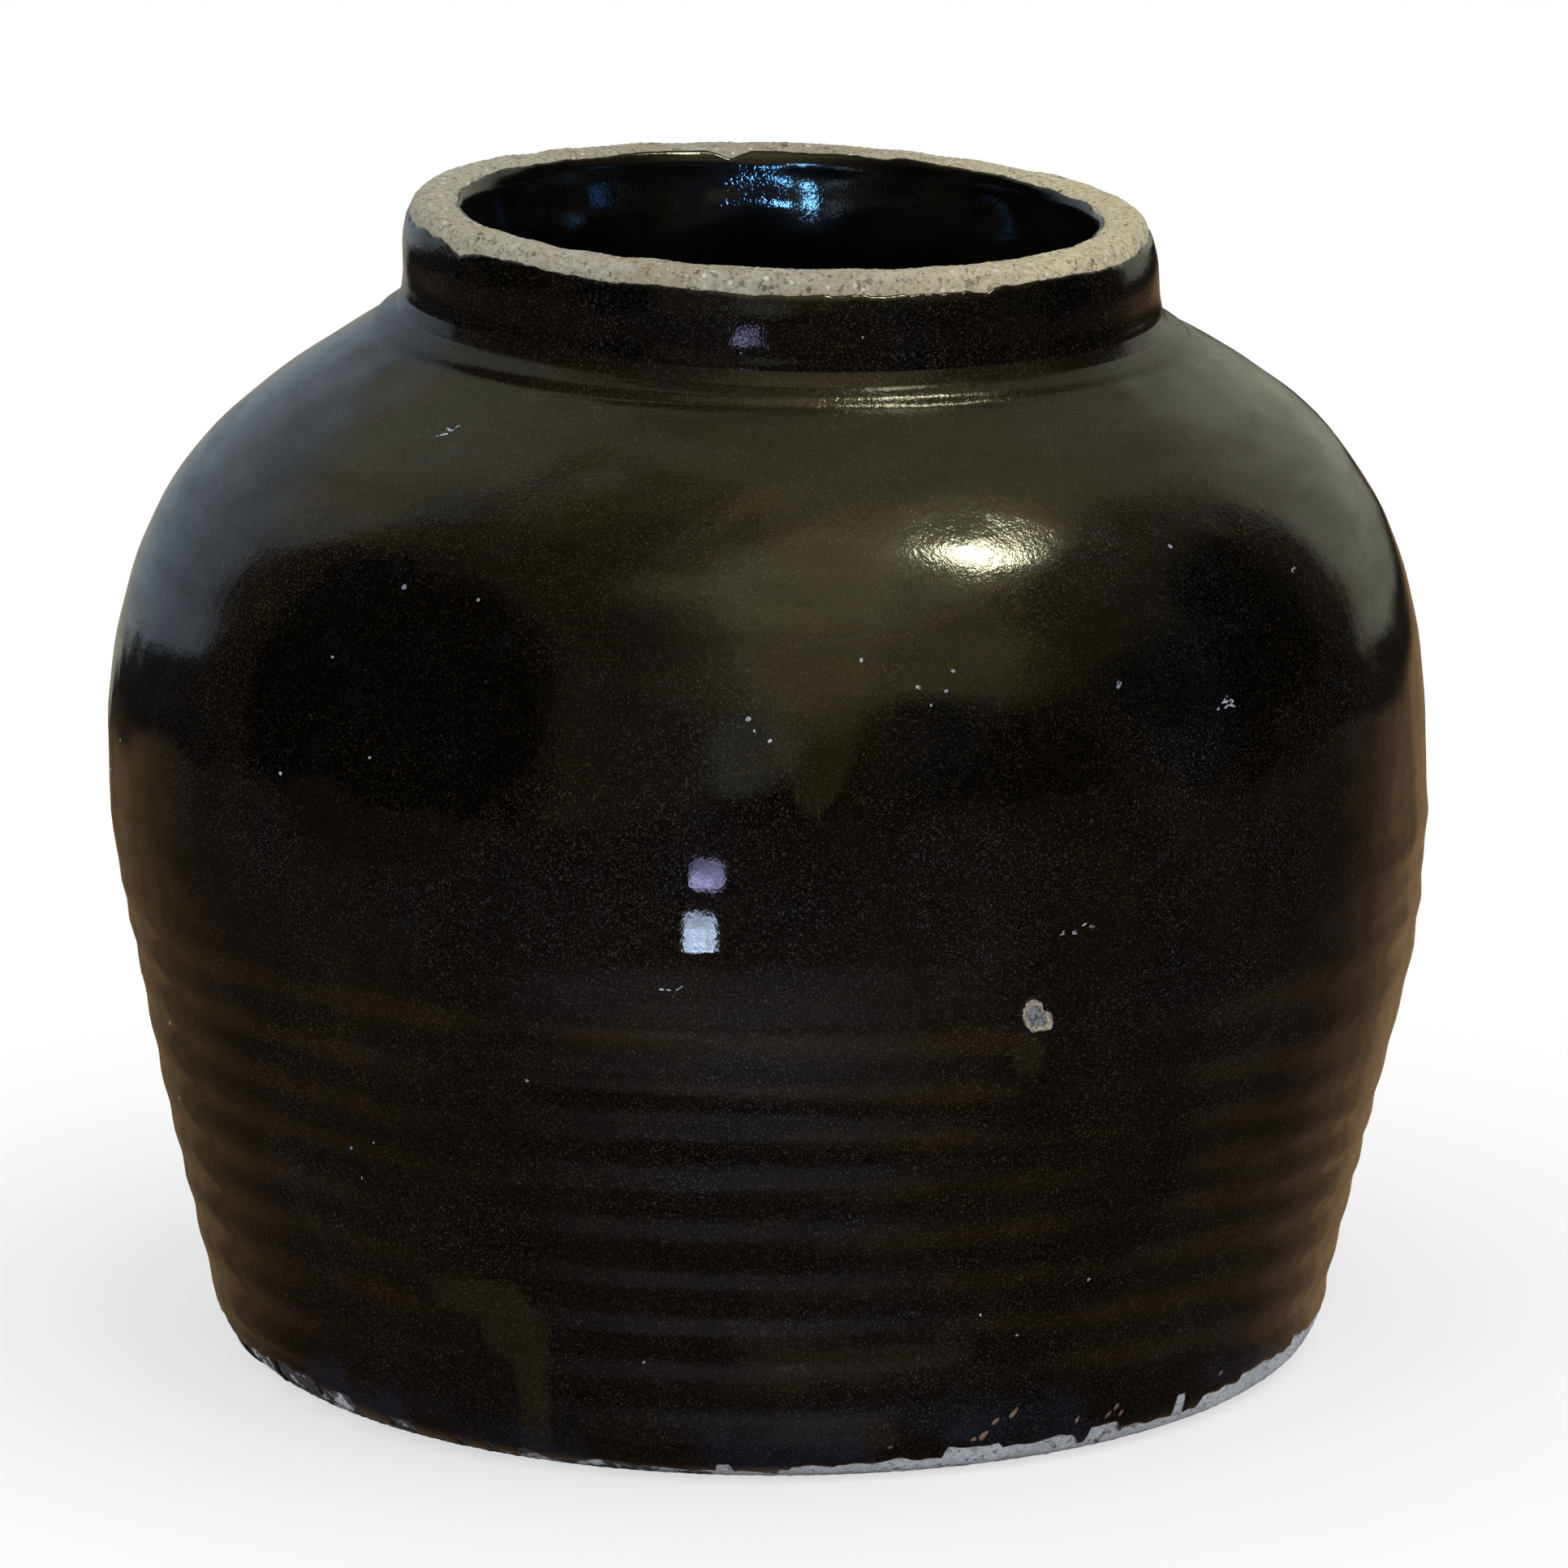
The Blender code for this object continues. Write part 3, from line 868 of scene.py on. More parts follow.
def colour_fields(azimuth, s):
    """Per-point masks for the outer coat, in the order of FIELDS."""
    (_, z), _ = SECTION.at(s)
    z = z + 0 * azimuth
    wobble = LOBE_WOBBLE(azimuth, s)
    olive_and_sheen, dark = runs_and_shoulder(azimuth, z, wobble, lobes(azimuth, z, wobble))
    olive_and_sheen = low_patches(azimuth, z, wobble, olive_and_sheen)
    olive_and_sheen = olive_and_sheen * (1 - 0.85 * smooth(COLLAR_ARC - 1 * MM, COLLAR_ARC + 2 * MM, s))
    low = 1 - smooth(108 * MM, 122 * MM, z)
    ridge = low * (0.5 + 0.5 * np.cos(ring_phase(azimuth, s, z))) * smooth(8 * MM, 20 * MM, z)
    front_right = 0.25 + 0.75 * bump(turn(azimuth, 12), 0, 32)
    pebbled = bump(COLLAR_ARC - s, 7.5 * MM, 5 * MM) * front_right
    pooled = bump(COLLAR_ARC - s, 3 * MM, 8 * MM)
    front_left = bump(turn(azimuth, -45), 0, 50)
    milky = bump(z - foot_edge(azimuth), 2 * MM, 7 * MM) * smooth(-0.5, 0.6, wobble + 0.9 * front_left)
    return olive_and_sheen, dark, ridge, milky, pebbled, pooled


FIELDS = ("olive_and_sheen", "dark", "ridge", "milky", "pebbled", "pooled")


# ---------------------------------------------------------------- pieces


def outer_coat():
    """Outer coat: fine round its two ragged edges, coarser between, with its back tucked into the clay."""
    fine = columns(2 * COAT_COLUMNS)
    low, high = SECTION.outside_at(foot_edge(fine)), SECTION.outside_at(rim_edge(fine))
    low0, high0 = low.mean(), high.mean()
    edge = COAT_EDGE
    belly = SECTION.outside_at(120 * MM)
    rings, fields = [], []

    def add_ring(s, step, lift):
        low_share = 1 - smooth(0, EDGE_FADE, s - low0)
        high_share = 1 - smooth(0, EDGE_FADE, high0 - s)
        place = s + low_share * (low[::step] - low0) + high_share * (high[::step] - high0)
        rings.append(surface(fine[::step], place, lift))
        fields.append(colour_fields(fine[::step], place))

    for s in stations(
        (low0, low0 + 0.3 * edge, 0.1 * MM), (low0 + 0.3 * edge, low0 + edge, 0.25 * MM),
        (low0 + edge, low0 + EDGE_FADE, 1.3 * MM), (low0 + EDGE_FADE, belly, 2.3 * MM),
        (belly, COLLAR_ARC - 14 * MM, 3.4 * MM), (COLLAR_ARC - 14 * MM, COLLAR_ARC - 9 * MM, 1.0 * MM),
        (COLLAR_ARC - 9 * MM, COLLAR_ARC + 6 * MM, 0.65 * MM),
        (COLLAR_ARC + 6 * MM, high0 - 2 * MM, 1.6 * MM), (high0 - 2 * MM, high0 - 0.3 * edge, 0.35 * MM),
        (high0 - 0.3 * edge, high0, 0.1 * MM),
    ):
        near_edge = s < low0 + 8 * MM or s > high0 - 2.5 * MM
        add_ring(s, 1 if near_edge else 2, coat_lift(s, low0, high0))
    for s in stations((high0, low0, 12 * MM)):
        sunk = smooth(0, BACK_FADE, s - low0) * smooth(0, BACK_FADE, high0 - s)
        add_ring(s, 2, CLAY_LIFT - 2 * TUCK + COAT_BACK * sunk)
    attributes = {key: np.concatenate([f[i] for f in fields]) for i, key in enumerate(FIELDS)}
    return make_piece("outer_glaze_coat", "outer_glaze", rings, True, OUTER_GLAZE, attributes)


def inner_coat():
    """Inner coat: from its ragged edge in the mouth down the wall and across the floor."""
    azimuth = columns(COAT_COLUMNS)
    high = SECTION.inside_at(mouth_edge(azimuth))
    high0 = high.mean()
    last = SECTION.length - 4 * MM
    edge = COAT_EDGE
    rows = stations(
        (high0, high0 + 0.3 * edge, 0.1 * MM), (high0 + 0.3 * edge, high0 + edge, 0.25 * MM),
        (high0 + edge, high0 + 44 * MM, 1.0 * MM), (high0 + 44 * MM, last, 5.0 * MM),
    )
    back_rows = np.concatenate((rows[:1], rows[5::6], rows[-1:]))

    def shifted(s):
        return s + (1 - smooth(0, EDGE_FADE, s - high0)) * (high - high0)

    def rounded(s):
        return math.sqrt(1 - (1 - min((s - high0) / edge, 1)) ** 2)

    def back_lift(s):
        return -2 * TUCK + COAT_BACK * smooth(0, BACK_FADE, s - high0)

    front = [surface(azimuth, shifted(s), -TUCK + (COAT + TUCK) * rounded(s)) for s in rows]
    back = [surface(azimuth, shifted(s), back_lift(s)) for s in back_rows]
    rings = front[::-1] + back
    poles = (np.array((0, 0, FOOT[1] + COAT)), np.array((0, 0, FOOT[1] - 2 * TUCK + COAT_BACK)))
    return make_piece("inner_glaze_coat", "inner_glaze", rings, False, INNER_GLAZE, None, poles)


def grain_lift(azimuth, s, amount):
    """Height of the sandy grain on bare clay; amount is in mm."""
    return amount * MM * RIM_GRAIN(azimuth, s)


def wall_ring(node, outer_step, inner_step):
    """A wall section, hidden between the coats: its outer face up, then its inner face down."""
    low, high = (corner.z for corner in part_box(node))
    azimuth = columns(HIDDEN_COLUMNS)
    outer = stations((SECTION.outside_at(low), SECTION.outside_at(high), outer_step))
    inner = stations((SECTION.inside_at(high), SECTION.inside_at(low), inner_step))
    rings = [surface(azimuth, s, CLAY_LIFT) for s in outer] + [surface(azimuth, s, 0.0) for s in inner]
    make_piece(node + "_clay", node, rings, True, WALL_CLAY)


SLIP_INSET = 1.6 * MM


def slip_ring(node):
    """Slip in a joint, a little short of both faces of the wall."""
    low, high = (corner.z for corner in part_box(node))
    azimuth = columns(HIDDEN_COLUMNS)
    rings = [surface(azimuth, SECTION.outside_at(z), CLAY_LIFT - SLIP_INSET) for z in (low, high)]
    rings += [surface(azimuth, SECTION.inside_at(z), -SLIP_INSET) for z in (high, low)]
    make_piece(node + "_slip", node, rings, True, SLIP)


def neck_collar():
    """The collar and the bare, grainy rim."""
    azimuth = columns(CLAY_COLUMNS)
    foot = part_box("neck_collar")[0].z
    start = SECTION.outside_at(foot)
    bare = RIM_ARC - 4 * MM
    deep = SECTION.top + 12 * MM
    rows = stations(
        (start, bare, 3 * MM), (bare, RIM_ARC, 0.8 * MM), (RIM_ARC, SECTION.top + 7 * MM, 0.62 * MM),
        (SECTION.top + 7 * MM, deep, 1.2 * MM), (deep, SECTION.inside_at(foot), 4 * MM),
    )
    rings = []
    for s in rows:
        blend = float(smooth(RIM_ARC, SECTION.top + 4 * MM, s))
        strength = float(smooth(bare, RIM_ARC, s) * (1 - smooth(SECTION.top + 9 * MM, deep, s)))
        lift = CLAY_LIFT * (1 - blend) + grain_lift(azimuth, s, 0.075 * strength)
        rings.append(surface(azimuth, s, lift))
    make_piece("neck_collar_clay", "neck_collar", rings, True, RIM_CLAY)


def base_disc():
    """The disc the jar stands on, smooth underneath and grainy round its bare edge."""
    azimuth = columns(CLAY_COLUMNS)
    top = SECTION.outside_at(FOOT[1])
    rows = stations(
        (6 * MM, 60 * MM, 9 * MM), (60 * MM, SECTION.foot - 6 * MM, 5 * MM),
        (SECTION.foot - 6 * MM, SECTION.foot, 1 * MM), (SECTION.foot, top, 0.7 * MM),
    )
    rings = []
    for s in rows:
        strength = float(smooth(SECTION.foot + 1 * MM, SECTION.foot + 3 * MM, s))
        lift = CLAY_LIFT * strength + grain_lift(azimuth, s, 0.06 * strength)
        rings.append(surface(azimuth, s, lift))
    poles = (np.zeros(3), np.array((0, 0, FOOT[1])))
    make_piece("base_disc_clay", "base_disc", rings, False, FOOT_CLAY, None, poles)


# ---------------------------------------------------------------- marks on the surface


def spot_frame(azimuth, height, lift):
    """Place, rightward, upward and outward directions of a spot on the outside."""
    s = float(SECTION.outside_at(height * MM))
    here = surface(np.array(azimuth), s, lift)
    right = surface(np.array(azimuth + 0.4), s, lift) - here
    up = surface(np.array(azimuth), s + 1 * MM, lift) - here
    right /= np.linalg.norm(right)
    out = np.cross(right, up)
    out /= np.linalg.norm(out)
    return here, right, np.cross(out, right), out


def pebble(draw, spot, size, stretch, turned, flat):
    """A lumpy grain half sunk in the glaze: points and faces."""
    here, right, up, out = spot
    around, along = 9, 5
    points, faces = [], []
    c, s = math.cos(turned), math.sin(turned)
    for i in range(along + 1):
        polar = math.pi * i / along
        for j in range(around):
            angle = TAU * j / around
            r = size * (1 + 0.28 * draw.uniform(-1, 1))
            x = r * math.sin(polar) * math.cos(angle) * stretch
            y = r * math.sin(polar) * math.sin(angle)
            x, y = x * c - y * s, x * s + y * c
            points.append(here + x * right + y * up + r * flat * math.cos(polar) * out)
    for i in range(along):
        for j in range(around):
            k = (j + 1) % around
            faces.append((i * around + j, (i + 1) * around + j, (i + 1) * around + k, i * around + k))
    return points, faces


def merged_piece(name, lumps, material):
    """One piece made of many separate lumps."""
    vertices, faces = [], []
    for points, quads in lumps:
        base = len(vertices)
        vertices.extend(tuple(map(float, point)) for point in points)
        faces.extend(tuple(base + i for i in quad) for quad in quads)
    mesh = new_mesh(name, vertices, faces)
    mesh.shade_smooth()
    mesh.materials.append(material)
    return show(name, mesh)


# Grit fired into the glaze: azimuth, height in mm, size in mm.
GRIT = (
    (-35.5, 196.6, 0.75), (-27.4, 196.2, 0.5), (-41, 180.8, 0.45), (-45, 154.6, 0.5), (-35.2, 161.8, 0.4),
    (-1.5, 175.8, 0.6), (0.3, 171.4, 0.4), (13, 181.3, 0.55), (16.2, 184.1, 0.5), (8.2, 187.1, 0.5),
    (15.4, 180.2, 0.45), (41.7, 202.6, 0.5), (-21.4, 94.6, 0.4), (-40.6, 71.5, 0.5), (-37.9, 73.9, 0.3),
    (-39.9, 64.5, 0.3), (31, 44, 0.45), (20, 39, 0.35), (24, 33, 0.35), (-12, 29, 0.4), (-6, 243, 0.3),
    (12, 247, 0.3), (14, 177.6, 0.35), (-1, 173.4, 0.3),
)
# Flaked scars: azimuth, height and size in mm, stretch, direction in radians.
CHIPS = (
    (21.4, 9.4, 0.7, 2.0, 0.9), (22.6, 12.4, 0.55, 2.4, 0.9), (24.6, 14.2, 0.6, 2.6, 0.8),
    (20.4, 8.9, 0.5, 1.8, 0.2), (31.8, 9.8, 0.5, 2.0, 1.0), (35.6, 9.6, 0.5, 2.0, 0.7),
    (36.6, 11.0, 0.5, 2.4, 0.9), (37.2, 9.4, 0.45, 1.8, 0.8), (24.9, 19.8, 0.3, 1.8, 0.2),
    (11.8, 8.6, 0.35, 2.0, 0.3), (51.5, 11.5, 0.4, 2.6, 0.5),
)
# Scuffs of pale strokes: azimuth, height, length, spread in mm, how many, direction in turns.
SCUFFS = (
    (-43.3, 222.5, 7.0, 1.6, 9, 0.07), (42.7, 170.3, 4.5, 1.1, 13, 0.04), (31.3, 177.9, 1.6, 0.5, 4, 0.1),
    (26.5, 127.5, 8.0, 0.9, 8, 0.03), (57, 193.1, 1.8, 0.5, 4, 0.1), (-8.0, 118.0, 5.0, 1.0, 3, 0.02),
)
STRAY_GRIT = 46
SCUFF_RADIUS = 140
COAT_FACE = CLAY_LIFT + COAT


def kiln_grit():
    """Bright specks of ash and grit stuck in the outer glaze."""
    draw = np.random.default_rng(51)
    spots = list(GRIT)
    for _ in range(STRAY_GRIT):
        spots.append((draw.uniform(75, 290), draw.uniform(25, 215), draw.uniform(0.25, 0.6)))
    lumps = []
    for azimuth, height, size in spots:
        spot = spot_frame(azimuth, height, COAT_FACE)
        stretch = draw.uniform(1.0, 1.7)
        lumps.append(pebble(draw, spot, 0.8 * size * MM, stretch, draw.uniform(0, math.pi), 0.45))
    for azimuth, height, length, spread, count, turns in SCUFFS:
        heading = TAU * turns
        c, s = math.cos(heading), math.sin(heading)
        for _ in range(count):
            along, off = draw.uniform(-0.5, 0.5) * length, draw.normal(0, 0.5) * spread
            right, up = along * c - off * s, along * s + off * c
            spot = spot_frame(azimuth + math.degrees(right / SCUFF_RADIUS), height + up, COAT_FACE)
            angle = heading + draw.normal(0, 0.5)
            lumps.append(pebble(draw, spot, draw.uniform(0.12, 0.28) * MM, draw.uniform(1.5, 4), angle, 0.4))
    return merged_piece("kiln_grit", lumps, GRIT_STONE)


def rust_chips():
    """Small scars near the foot where the glaze has flaked to a rusty skin."""
    draw = np.random.default_rng(52)
    lumps = []
    for azimuth, height, size, stretch, angle in CHIPS:
        spot = spot_frame(azimuth, height, COAT_FACE - 0.02 * MM)
        lumps.append(pebble(draw, spot, size * MM, stretch, angle, 0.16))
    return merged_piece("rust_chips", lumps, RUST_SKIN)


# Azimuth and height in mm of the blister, and the wall's radius there.
BLISTER = (22.5, 108.8)
BLISTER_RADIUS = 3.7 * MM
BLISTER_WALL = 148.5 * MM


def blister_scar():
    """A burst blister: a sandy hollow inside a raised uneven lip."""
    draw = np.random.default_rng(53)
    around, rings = 64, 22
    angle = np.arange(around) * TAU / around
    wobble = sum(draw.normal(0, 0.025) * np.cos(k * angle + draw.uniform(0, TAU)) for k in range(2, 9))
    bean = 1 + 0.20 * np.cos(2 * (angle - 2.3)) - 0.11 * np.cos(3 * (angle - 0.7))
    outline = BLISTER_RADIUS * (1 + wobble) * bean
    s0 = float(SECTION.outside_at(BLISTER[1] * MM))
    vertices, tags = [], []
    for i in range(rings + 1):
        share = 1.25 * i / rings
        lip = 0.42 * bump(share, 0.86, 0.16) + 0.16 * bump(share, 0.2, 0.35)
        skirt = -0.25 * float(smooth(1.05, 1.25, share))
        grain = 0.07 * draw.normal(0, 1, around) * float(1 - smooth(0.7, 1.0, share))
        x, y = outline * share * np.cos(angle), outline * share * np.sin(angle)
        lift = COAT_FACE + (0.05 + lip + skirt + grain) * MM
        vertices.append(surface(BLISTER[0] + np.degrees(x / BLISTER_WALL), s0 + y, lift))
        tags.append(np.full(around, share))
    faces = []
    for i in range(rings):
        strip(faces, i * around, around, (i + 1) * around, around)
    mesh = new_mesh("blister_scar", np.vstack(vertices).tolist(), faces)
    if mesh.polygons[len(mesh.polygons) // 2].normal.y > 0:
        mesh.flip_normals()
    mesh.shade_smooth()
    layer = mesh.attributes.new("share", "FLOAT", "POINT")
    layer.data.foreach_set("value", np.concatenate(tags).astype(np.float32))
    mesh.materials.append(BLISTER_SKIN)
    return show("blister_scar", mesh)


# ---------------------------------------------------------------- the room that the glaze mirrors

# Soft shapes of the room, painted one over another: azimuth and elevation of the middle, half width and
# half height in degrees, edge softness, power of the outline (2 oval, 6 boxy), colour, how frayed.
ROOM_SHAPES = (
    ("front_left_ceiling", -66, 66, 56, 28, 0.25, 3, (0.11, 0.085, 0.050), 0.1),
    ("front_left_haze", -27, 30, 19, 40, 0.25, 3, (0.120, 0.090, 0.060), 0.1),
    ("front_right_glow", 26, 43, 42, 25, 0.45, 2, (0.55, 0.47, 0.25), 0.1),
    ("bright_ceiling", 28, 68, 66, 17, 0.45, 2, (0.86, 0.76, 0.40), 0.1),
    ("right_haze", 96, 32, 44, 26, 0.14, 3, (0.14, 0.105, 0.055), 0.4),
    ("back_left_wall", -160, 30, 46, 60, 0.10, 6, (0.35, 0.345, 0.28), 0.2),
    ("back_right_wall", 160, 40, 37, 50, 0.12, 5, (0.275, 0.27, 0.215), 0.6),
    ("left_window", -140, 12, 33, 19, 0.14, 6, (0.31, 0.37, 0.44), 0.3),
    ("right_window", 150, 16, 22, 17, 0.20, 6, (0.46, 0.46, 0.38), 0.6),
    ("dark_cabinet", -79, 14, 41, 36, 0.08, 2.6, (0.0, 0.0, 0.0), 0.2),
    ("dark_chair", 29.5, 11, 9.5, 12, 0.25, 3, (0.03, 0.035, 0.045), 0.3),
    ("dark_shelf", 78, 8, 18, 15, 0.35, 3, (0.02, 0.022, 0.025), 0.3),
    ("dark_door", 108, 10, 20.5, 26, 0.12, 3, (0.0, 0.0, 0.0), 0.6),
    ("pale_wedge", -3.5, 15, 9.0, 13.0, 0.16, 2.2, (0.30, 0.305, 0.24), 0.1),
)
ROOM_DARK = (0.013, 0.010, 0.008)
ROOM_CEILING = (0.45, 0.39, 0.20)
FLOOR_FRONT = (0.060, 0.038, 0.030)
FLOOR_LEFT = (0.185, 0.118, 0.062)
FLOOR_RIGHT = (0.36, 0.225, 0.115)
# The walls' foot sinks towards the back: its elevation at azimuth 0 and its fall per degree of azimuth.
WALL_LEFT = (42.5, 0.33)
WALL_RIGHT = (5.2, 0.06)
# How far the floor's edge sinks towards the back, in degrees.
FLOOR_FALL_LEFT = 8.5
FLOOR_FALL_RIGHT = 5.0


def towards(azimuth, elevation):
    """Unit vector from the jar in a direction given in degrees."""
    a, e = math.radians(azimuth), math.radians(elevation)
    return math.sin(a) * math.cos(e), -math.cos(a) * math.cos(e), math.sin(e)


def outline_mask(graph, azimuth, elevation, ragged, shape):
    """One where a direction is inside a soft superellipse."""
    az, el, half_az, half_el, soft, power = (float(number) for number in shape)
    across = graph.math("ABSOLUTE", graph.math("WRAP", graph.minus(azimuth, az), 180.0, -180.0))
    up = graph.math("ABSOLUTE", graph.minus(elevation, el))
    a = graph.math("POWER", graph.math("DIVIDE", across, half_az), power)
    b = graph.math("POWER", graph.math("DIVIDE", up, half_el), power)
    reach = graph.plus(graph.math("POWER", graph.plus(a, b), 1.0 / power), ragged)
    return graph.ramp(reach, 1.0 - soft, 1.0 + soft, 1.0, 0.0)


SHEEN_SHAPE = (-7, -31, 30, 7, 0.95, 2)
SHEEN_COLOUR = (1.0, 0.95, 1.2)
SKIRTING = (0.004, 0.003, 0.003)
BOARD_GAP = (0.03, 0.02, 0.014)


def add_wall_foot(graph, room, away, elevation, frayed, foot, slant):
    """A black skirting under the walls at the back."""
    rough_edge = graph.scaled(frayed, 9.0, elevation)
    slanted = graph.scaled(away, slant, rough_edge)
    below = graph.ramp(graph.minus(slanted, foot), 0.5, -0.6)
    return graph.mix(graph.times(below, graph.ramp(away, 92, 104)), room, SKIRTING)


def add_room_floor(graph, room, away, right, direction, elevation, haze, fall):
    """The floor: dim in front, warmer to the back, with a few darker boards."""
    floor = graph.mix(graph.ramp(away, 110, 158), FLOOR_FRONT, graph.mix(right, FLOOR_LEFT, FLOOR_RIGHT))
    board = graph.noise(9.0, 3, direction, 0.6)
    floor = graph.mix(graph.ramp(board, 0.35, 0.7, 0.0, 0.45), floor, BOARD_GAP)
    tilt = graph.times(graph.ramp(away, 60, 165), fall)
    edge = graph.plus(graph.scaled(haze, 4.0, elevation), tilt)
    return graph.mix(graph.ramp(edge, -3.0, -6.0), room, floor)


def make_room():
    """Colour that the glaze sees in a direction, as one node group shared by the sky and the floor."""
    group = bpy.data.node_groups.new("room_in_the_glaze", "ShaderNodeTree")
    group.interface.new_socket("Direction", in_out="INPUT", socket_type="NodeSocketVector")
    group.interface.new_socket("Color", in_out="OUTPUT", socket_type="NodeSocketColor")
    graph = Graph(group)
    direction = graph.node("NodeGroupInput").outputs[0]
    x, y, z = graph.node("ShaderNodeSeparateXYZ", Vector=direction).outputs
    elevation = graph.math("DEGREES", graph.math("ARCSINE", z))
    azimuth = graph.math("DEGREES", graph.math("ARCTAN2", x, graph.times(y, -1.0)))
    haze = graph.minus(graph.noise(3.0, 5, direction, 0.6, 0.2), 0.5)
    frayed = graph.minus(graph.noise(22.0, 5, direction, 0.7), 0.5)
    broad = graph.times(haze, 0.30)
    room = graph.mix(graph.ramp(graph.scaled(haze, 22.0, elevation), 30, 62), ROOM_DARK, ROOM_CEILING)
    for _, *shape, colour, fray in ROOM_SHAPES:
        ragged = graph.scaled(frayed, float(fray), broad)
        room = graph.mix(outline_mask(graph, azimuth, elevation, ragged, shape), room, colour)
    away = graph.math("ABSOLUTE", azimuth)
    right = graph.ramp(x, -0.1, 0.1)
    foot, slant, fall = (
        graph.scaled(right, b - a, a)
        for a, b in (*zip(WALL_LEFT, WALL_RIGHT), (FLOOR_FALL_LEFT, FLOOR_FALL_RIGHT))
    )
    room = add_wall_foot(graph, room, away, elevation, frayed, foot, slant)
    room = add_room_floor(graph, room, away, right, direction, elevation, haze, fall)
    sheen = graph.times(outline_mask(graph, azimuth, elevation, broad, SHEEN_SHAPE), 0.16)
    room = graph.mix(sheen, room, SHEEN_COLOUR, "ADD")
    room = add_panes(graph, room, azimuth, elevation, direction)
    graph.node("NodeGroupOutput", i0=add_lamp(graph, room, direction))
    return group


# Small bright panes low in front: azimuth, elevation, half sizes in degrees, colour and brightness.
PANES = (
    ("upper_pane", -9.8, -9.7, 2.9, 1.55, (0.54, 0.54, 0.96), 12.5),
    ("lower_pane", -11.2, -14.7, 2.8, 1.05, (0.60, 0.74, 1.0), 24.0),
)


def add_panes(graph, room, azimuth, elevation, direction):
    """Adds the mottled panes, brighter in their lower half."""
    mottle = graph.noise(70, 4, direction, 0.7)
    for _, az, el, half_az, half_el, colour, level in PANES:
        shape = (az, el, half_az, half_el, 0.10, 4.0)
        mask = outline_mask(graph, azimuth, elevation, graph.scaled(mottle, 0.3, -0.15), shape)
        lower = graph.ramp(elevation, el + half_el * 0.3, el - half_el * 0.6, 0.45, 1.0)
        shade = graph.times(lower, graph.ramp(mottle, 0.32, 0.60, 0.25, 1.3))
        room = graph.mix(graph.times(graph.times(mask, shade), level), room, colour, "ADD")
    return room


# Azimuth and elevation of the lamp.
LAMP = (74.5, 66.0)
LAMP_COLOUR = (1.0, 0.97, 0.66)


def add_lamp(graph, room, direction):
    """A warm lamp above right, with a soft glow round it."""
    facing = graph.node("ShaderNodeVectorMath", {"operation": "DOT_PRODUCT"}, i0=direction, i1=towards(*LAMP))
    angle = graph.math("DEGREES", graph.math("ARCCOSINE", facing.outputs["Value"]))
    core = graph.ramp(angle, 6.8, 4.8, 0.0, 40.0)
    glow = graph.ramp(angle, 16.0, 4.0, 0.0, 1.0)
    return graph.mix(graph.plus(core, glow), room, LAMP_COLOUR, "ADD")


# ---------------------------------------------------------------- stage, light and camera


def add_group(graph, group, direction):
    made = graph.node("ShaderNodeGroup", {"node_tree": group})
    graph.feed(made, "i0", direction)
    return made.outputs[0]


SOFT_LIGHT = (0.95, 0.97, 1.0, 1.0)
SOFT_LIGHT_LEVEL = 0.62
WHITE = (1.0, 1.0, 1.0, 1.0)
FLOOR_HALF = 6.0


def make_world(room):
    """White to the camera, soft white light on the clay, and the dim room in the glaze's reflections."""
    world = bpy.data.worlds.new("studio")
    bpy.context.scene.world = world
    world.use_nodes = True
    world.cycles.sampling_method = "NONE"
    tree = world.node_tree
    tree.nodes.clear()
    graph = Graph(tree)
    direction = graph.node("ShaderNodeTexCoord").outputs["Generated"]
    paths = graph.node("ShaderNodeLightPath").outputs
    reflected = graph.node("ShaderNodeBackground", Color=add_group(graph, room, direction), Strength=1.0)
    soft_light = graph.node("ShaderNodeBackground", Color=SOFT_LIGHT, Strength=SOFT_LIGHT_LEVEL)
    backdrop = graph.node("ShaderNodeBackground", Color=WHITE, Strength=1.0)
    first = graph.node("ShaderNodeMixShader", Fac=paths["Is Glossy Ray"], i1=soft_light, i2=reflected)
    second = graph.node("ShaderNodeMixShader", Fac=paths["Is Camera Ray"], i1=first, i2=backdrop)
    graph.node("ShaderNodeOutputWorld", Surface=second)


